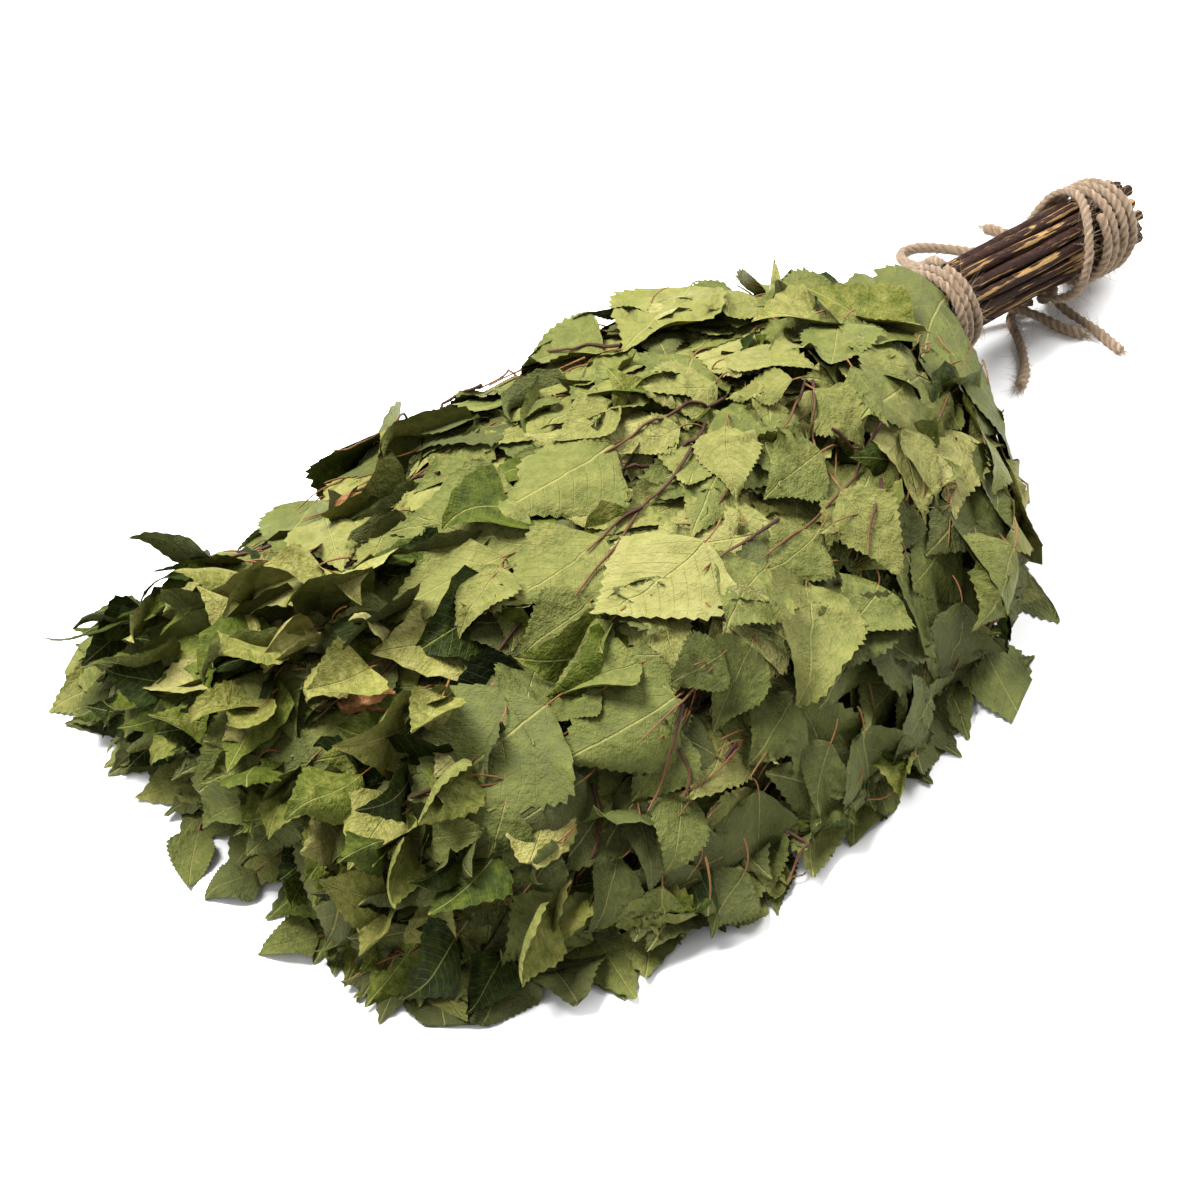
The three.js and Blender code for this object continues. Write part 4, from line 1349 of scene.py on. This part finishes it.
def add_end(crown):
    """The tips of the whisk seen end on: rolled leaves one above the other, pointing out of the bundle."""
    x = random.uniform(-0.318, -0.225, END_LEAVES)
    angle = random.uniform(0.05, np.pi - 0.05, END_LEAVES)
    scale = 0.93 * np.sqrt(random.uniform(0.02, 1.0, END_LEAVES))
    base = crown_point(x, angle, scale)
    outward = unit(crown_point(x, angle, scale + 0.1) - base)
    ahead = np.array([-1.0, 0.0, -0.12]) + 0.45 * scale[:, None] * outward
    ahead = ahead + random.normal(0.0, 0.32, (END_LEAVES, 3))
    up = np.array([0.0, 0.0, 0.7]) + 0.5 * outward + random.normal(0.0, 0.55, (END_LEAVES, 3))
    crumple = crumpled(END_LEAVES, 0.6, 0.2, 0.9)
    length = random.uniform(0.026, 0.046, END_LEAVES)
    shapes, flat = leaf_shapes(crumple, length, FOOT_LEAF_ROWS)
    turned = random.random(END_LEAVES) < 0.3
    turn_over(shapes, turned)
    points = strewn(shapes, base, ahead, up)
    points[..., 2] += np.maximum(0.0, 0.002 - points[..., 2].min(axis=(1, 2)))[:, None, None]
    # Painted light: the tone of the leaves at the whisk's end is raised by 0.08, to lighten the end, which
    # faces away from the key light.
    crown.add_leaves(points, flat, turned, lit_leaf_tones(points) + 0.08, leaf_ages(END_LEAVES))


def foot_spots():
    """Where leaves lie on the table and how they point: under the whisk, at its sides and at its tips."""
    spots = []
    for _ in range(FLOOR_LEAVES):
        x = random.uniform(-0.28, 0.03)
        half_width, _, _, middle = crown_at(x)
        y = middle + random.uniform(-0.8, 0.8) * half_width
        spots.append((x, y, random.uniform(0.0, 2 * np.pi)))
    for number in range(SKIRT_LEAVES):
        side = 1.0 if number % 2 else -1.0
        x = random.uniform(-0.30, 0.045)
        half_width, _, _, middle = crown_at(x)
        y = middle + side * (half_width - random.uniform(0.034, 0.060))
        spots.append((x, y, np.pi + side * random.uniform(0.3, 1.5)))
    for _ in range(SKIRT_LEAVES // 3):
        y = random.uniform(-0.11, 0.09)
        spots.append((random.uniform(-0.300, -0.270), y, np.pi + 2.5 * y + random.normal(0.0, 0.3)))
    return spots


def add_foot(crown):
    """Leaves that lie on the table, on each other where they meet."""
    sheet = Sheet.table()
    span = TABLE_Y[1] - TABLE_Y[0]
    spots = foot_spots()
    count = len(spots)
    crumple = crumpled(count, 0.22, 0.2, 0.6)
    shapes, flat = leaf_shapes(crumple, random.uniform(0.032, 0.058, count), FOOT_LEAF_ROWS)
    turned = random.random(count) < 0.4
    turn_over(shapes, turned)
    points = np.stack([
        sheet.lay(shape, x, (y - TABLE_Y[0]) / span, heading, drape=0.5)
        for shape, (x, y, heading) in zip(shapes, spots)
    ])
    crown.add_leaves(points, flat, turned, lit_leaf_tones(points), leaf_ages(count))
    lay_seen(crown, sheet, SEEN_ON_TABLE)


def add_shoots(crown):
    """Each stem goes on into its own spray as its main shoot."""
    for name, middle in zip(crown.names, crown.middles):
        stem_top, _, radius = stem_ends(name.replace("leaf_spray", "stem"))
        x = np.linspace(stem_top[0] + 0.004, -0.24, 40)
        half_width, height, base, crown_middle = crown_at(x)
        spread = smooth_step(0.12, -0.08, x)[:, None]
        aim_y = crown_middle + SHOOT_SPREAD * middle[0] / WIDTH_COUNTS * half_width
        aim = np.stack([aim_y, base + SHOOT_SPREAD * middle[1] * height], axis=1)
        wobble = 0.003 * np.sin(x[:, None] * 60 + random.uniform(0.0, 6.3, 2)) * spread
        across = stem_top[None, 1:] * (1 - spread) + aim * spread + wobble
        crown.add_twig(np.column_stack([x, across]), 0.96 * radius, 0.0007, owner=name)


def add_crown():
    crown = Crown()
    add_shoots(crown)
    lay_skin(crown, Sheet.crown())
    add_fill(crown)
    add_end(crown)
    add_foot(crown)
    crown.finish()


def set_camera():
    place, _, _, back = camera_axes()
    data = bpy.data.cameras.new("camera")
    data.sensor_width = CAMERA_SENSOR
    data.lens = CAMERA_LENS
    camera = bpy.data.objects.new("camera", data)
    camera.location = place
    camera.rotation_euler = Vector(-back).to_track_quat("-Z", "Y").to_euler()
    bpy.context.collection.objects.link(camera)
    bpy.context.scene.camera = camera


def area_light(name, place, size, energy):
    data = bpy.data.lights.new(name, "AREA")
    data.size = size
    data.energy = energy
    light = bpy.data.objects.new(name, data)
    light.location = place
    light.rotation_euler = (LIGHT_AIM - Vector(place)).to_track_quat("-Z", "Y").to_euler()
    bpy.context.collection.objects.link(light)


def set_studio():
    """A white table under a large soft light from behind on the left, and white surroundings."""
    bpy.ops.mesh.primitive_plane_add(size=12.0, location=(0.0, 0.0, 0.0))
    floor = bpy.context.object
    floor.name = "table"
    white = rgb(TABLE_WHITE, TABLE_WHITE, TABLE_WHITE)
    floor.data.materials.append(NodeTree("white_table").finish(white, 0.8, Specular_IOR_Level=0.1))
    for name, (place, size, energy) in LIGHTS.items():
        area_light(name, place, size, energy)
    world = bpy.data.worlds.new("studio")
    world.use_nodes = True
    background = world.node_tree.nodes["Background"]
    background.inputs["Color"].default_value = rgb(1.0, 1.0, 1.0)
    background.inputs["Strength"].default_value = WORLD_LIGHT
    bpy.context.scene.world = world
    bpy.context.scene.view_settings.view_transform = "Standard"


set_camera()
set_studio()
add_twine()
add_stems()
add_crown()
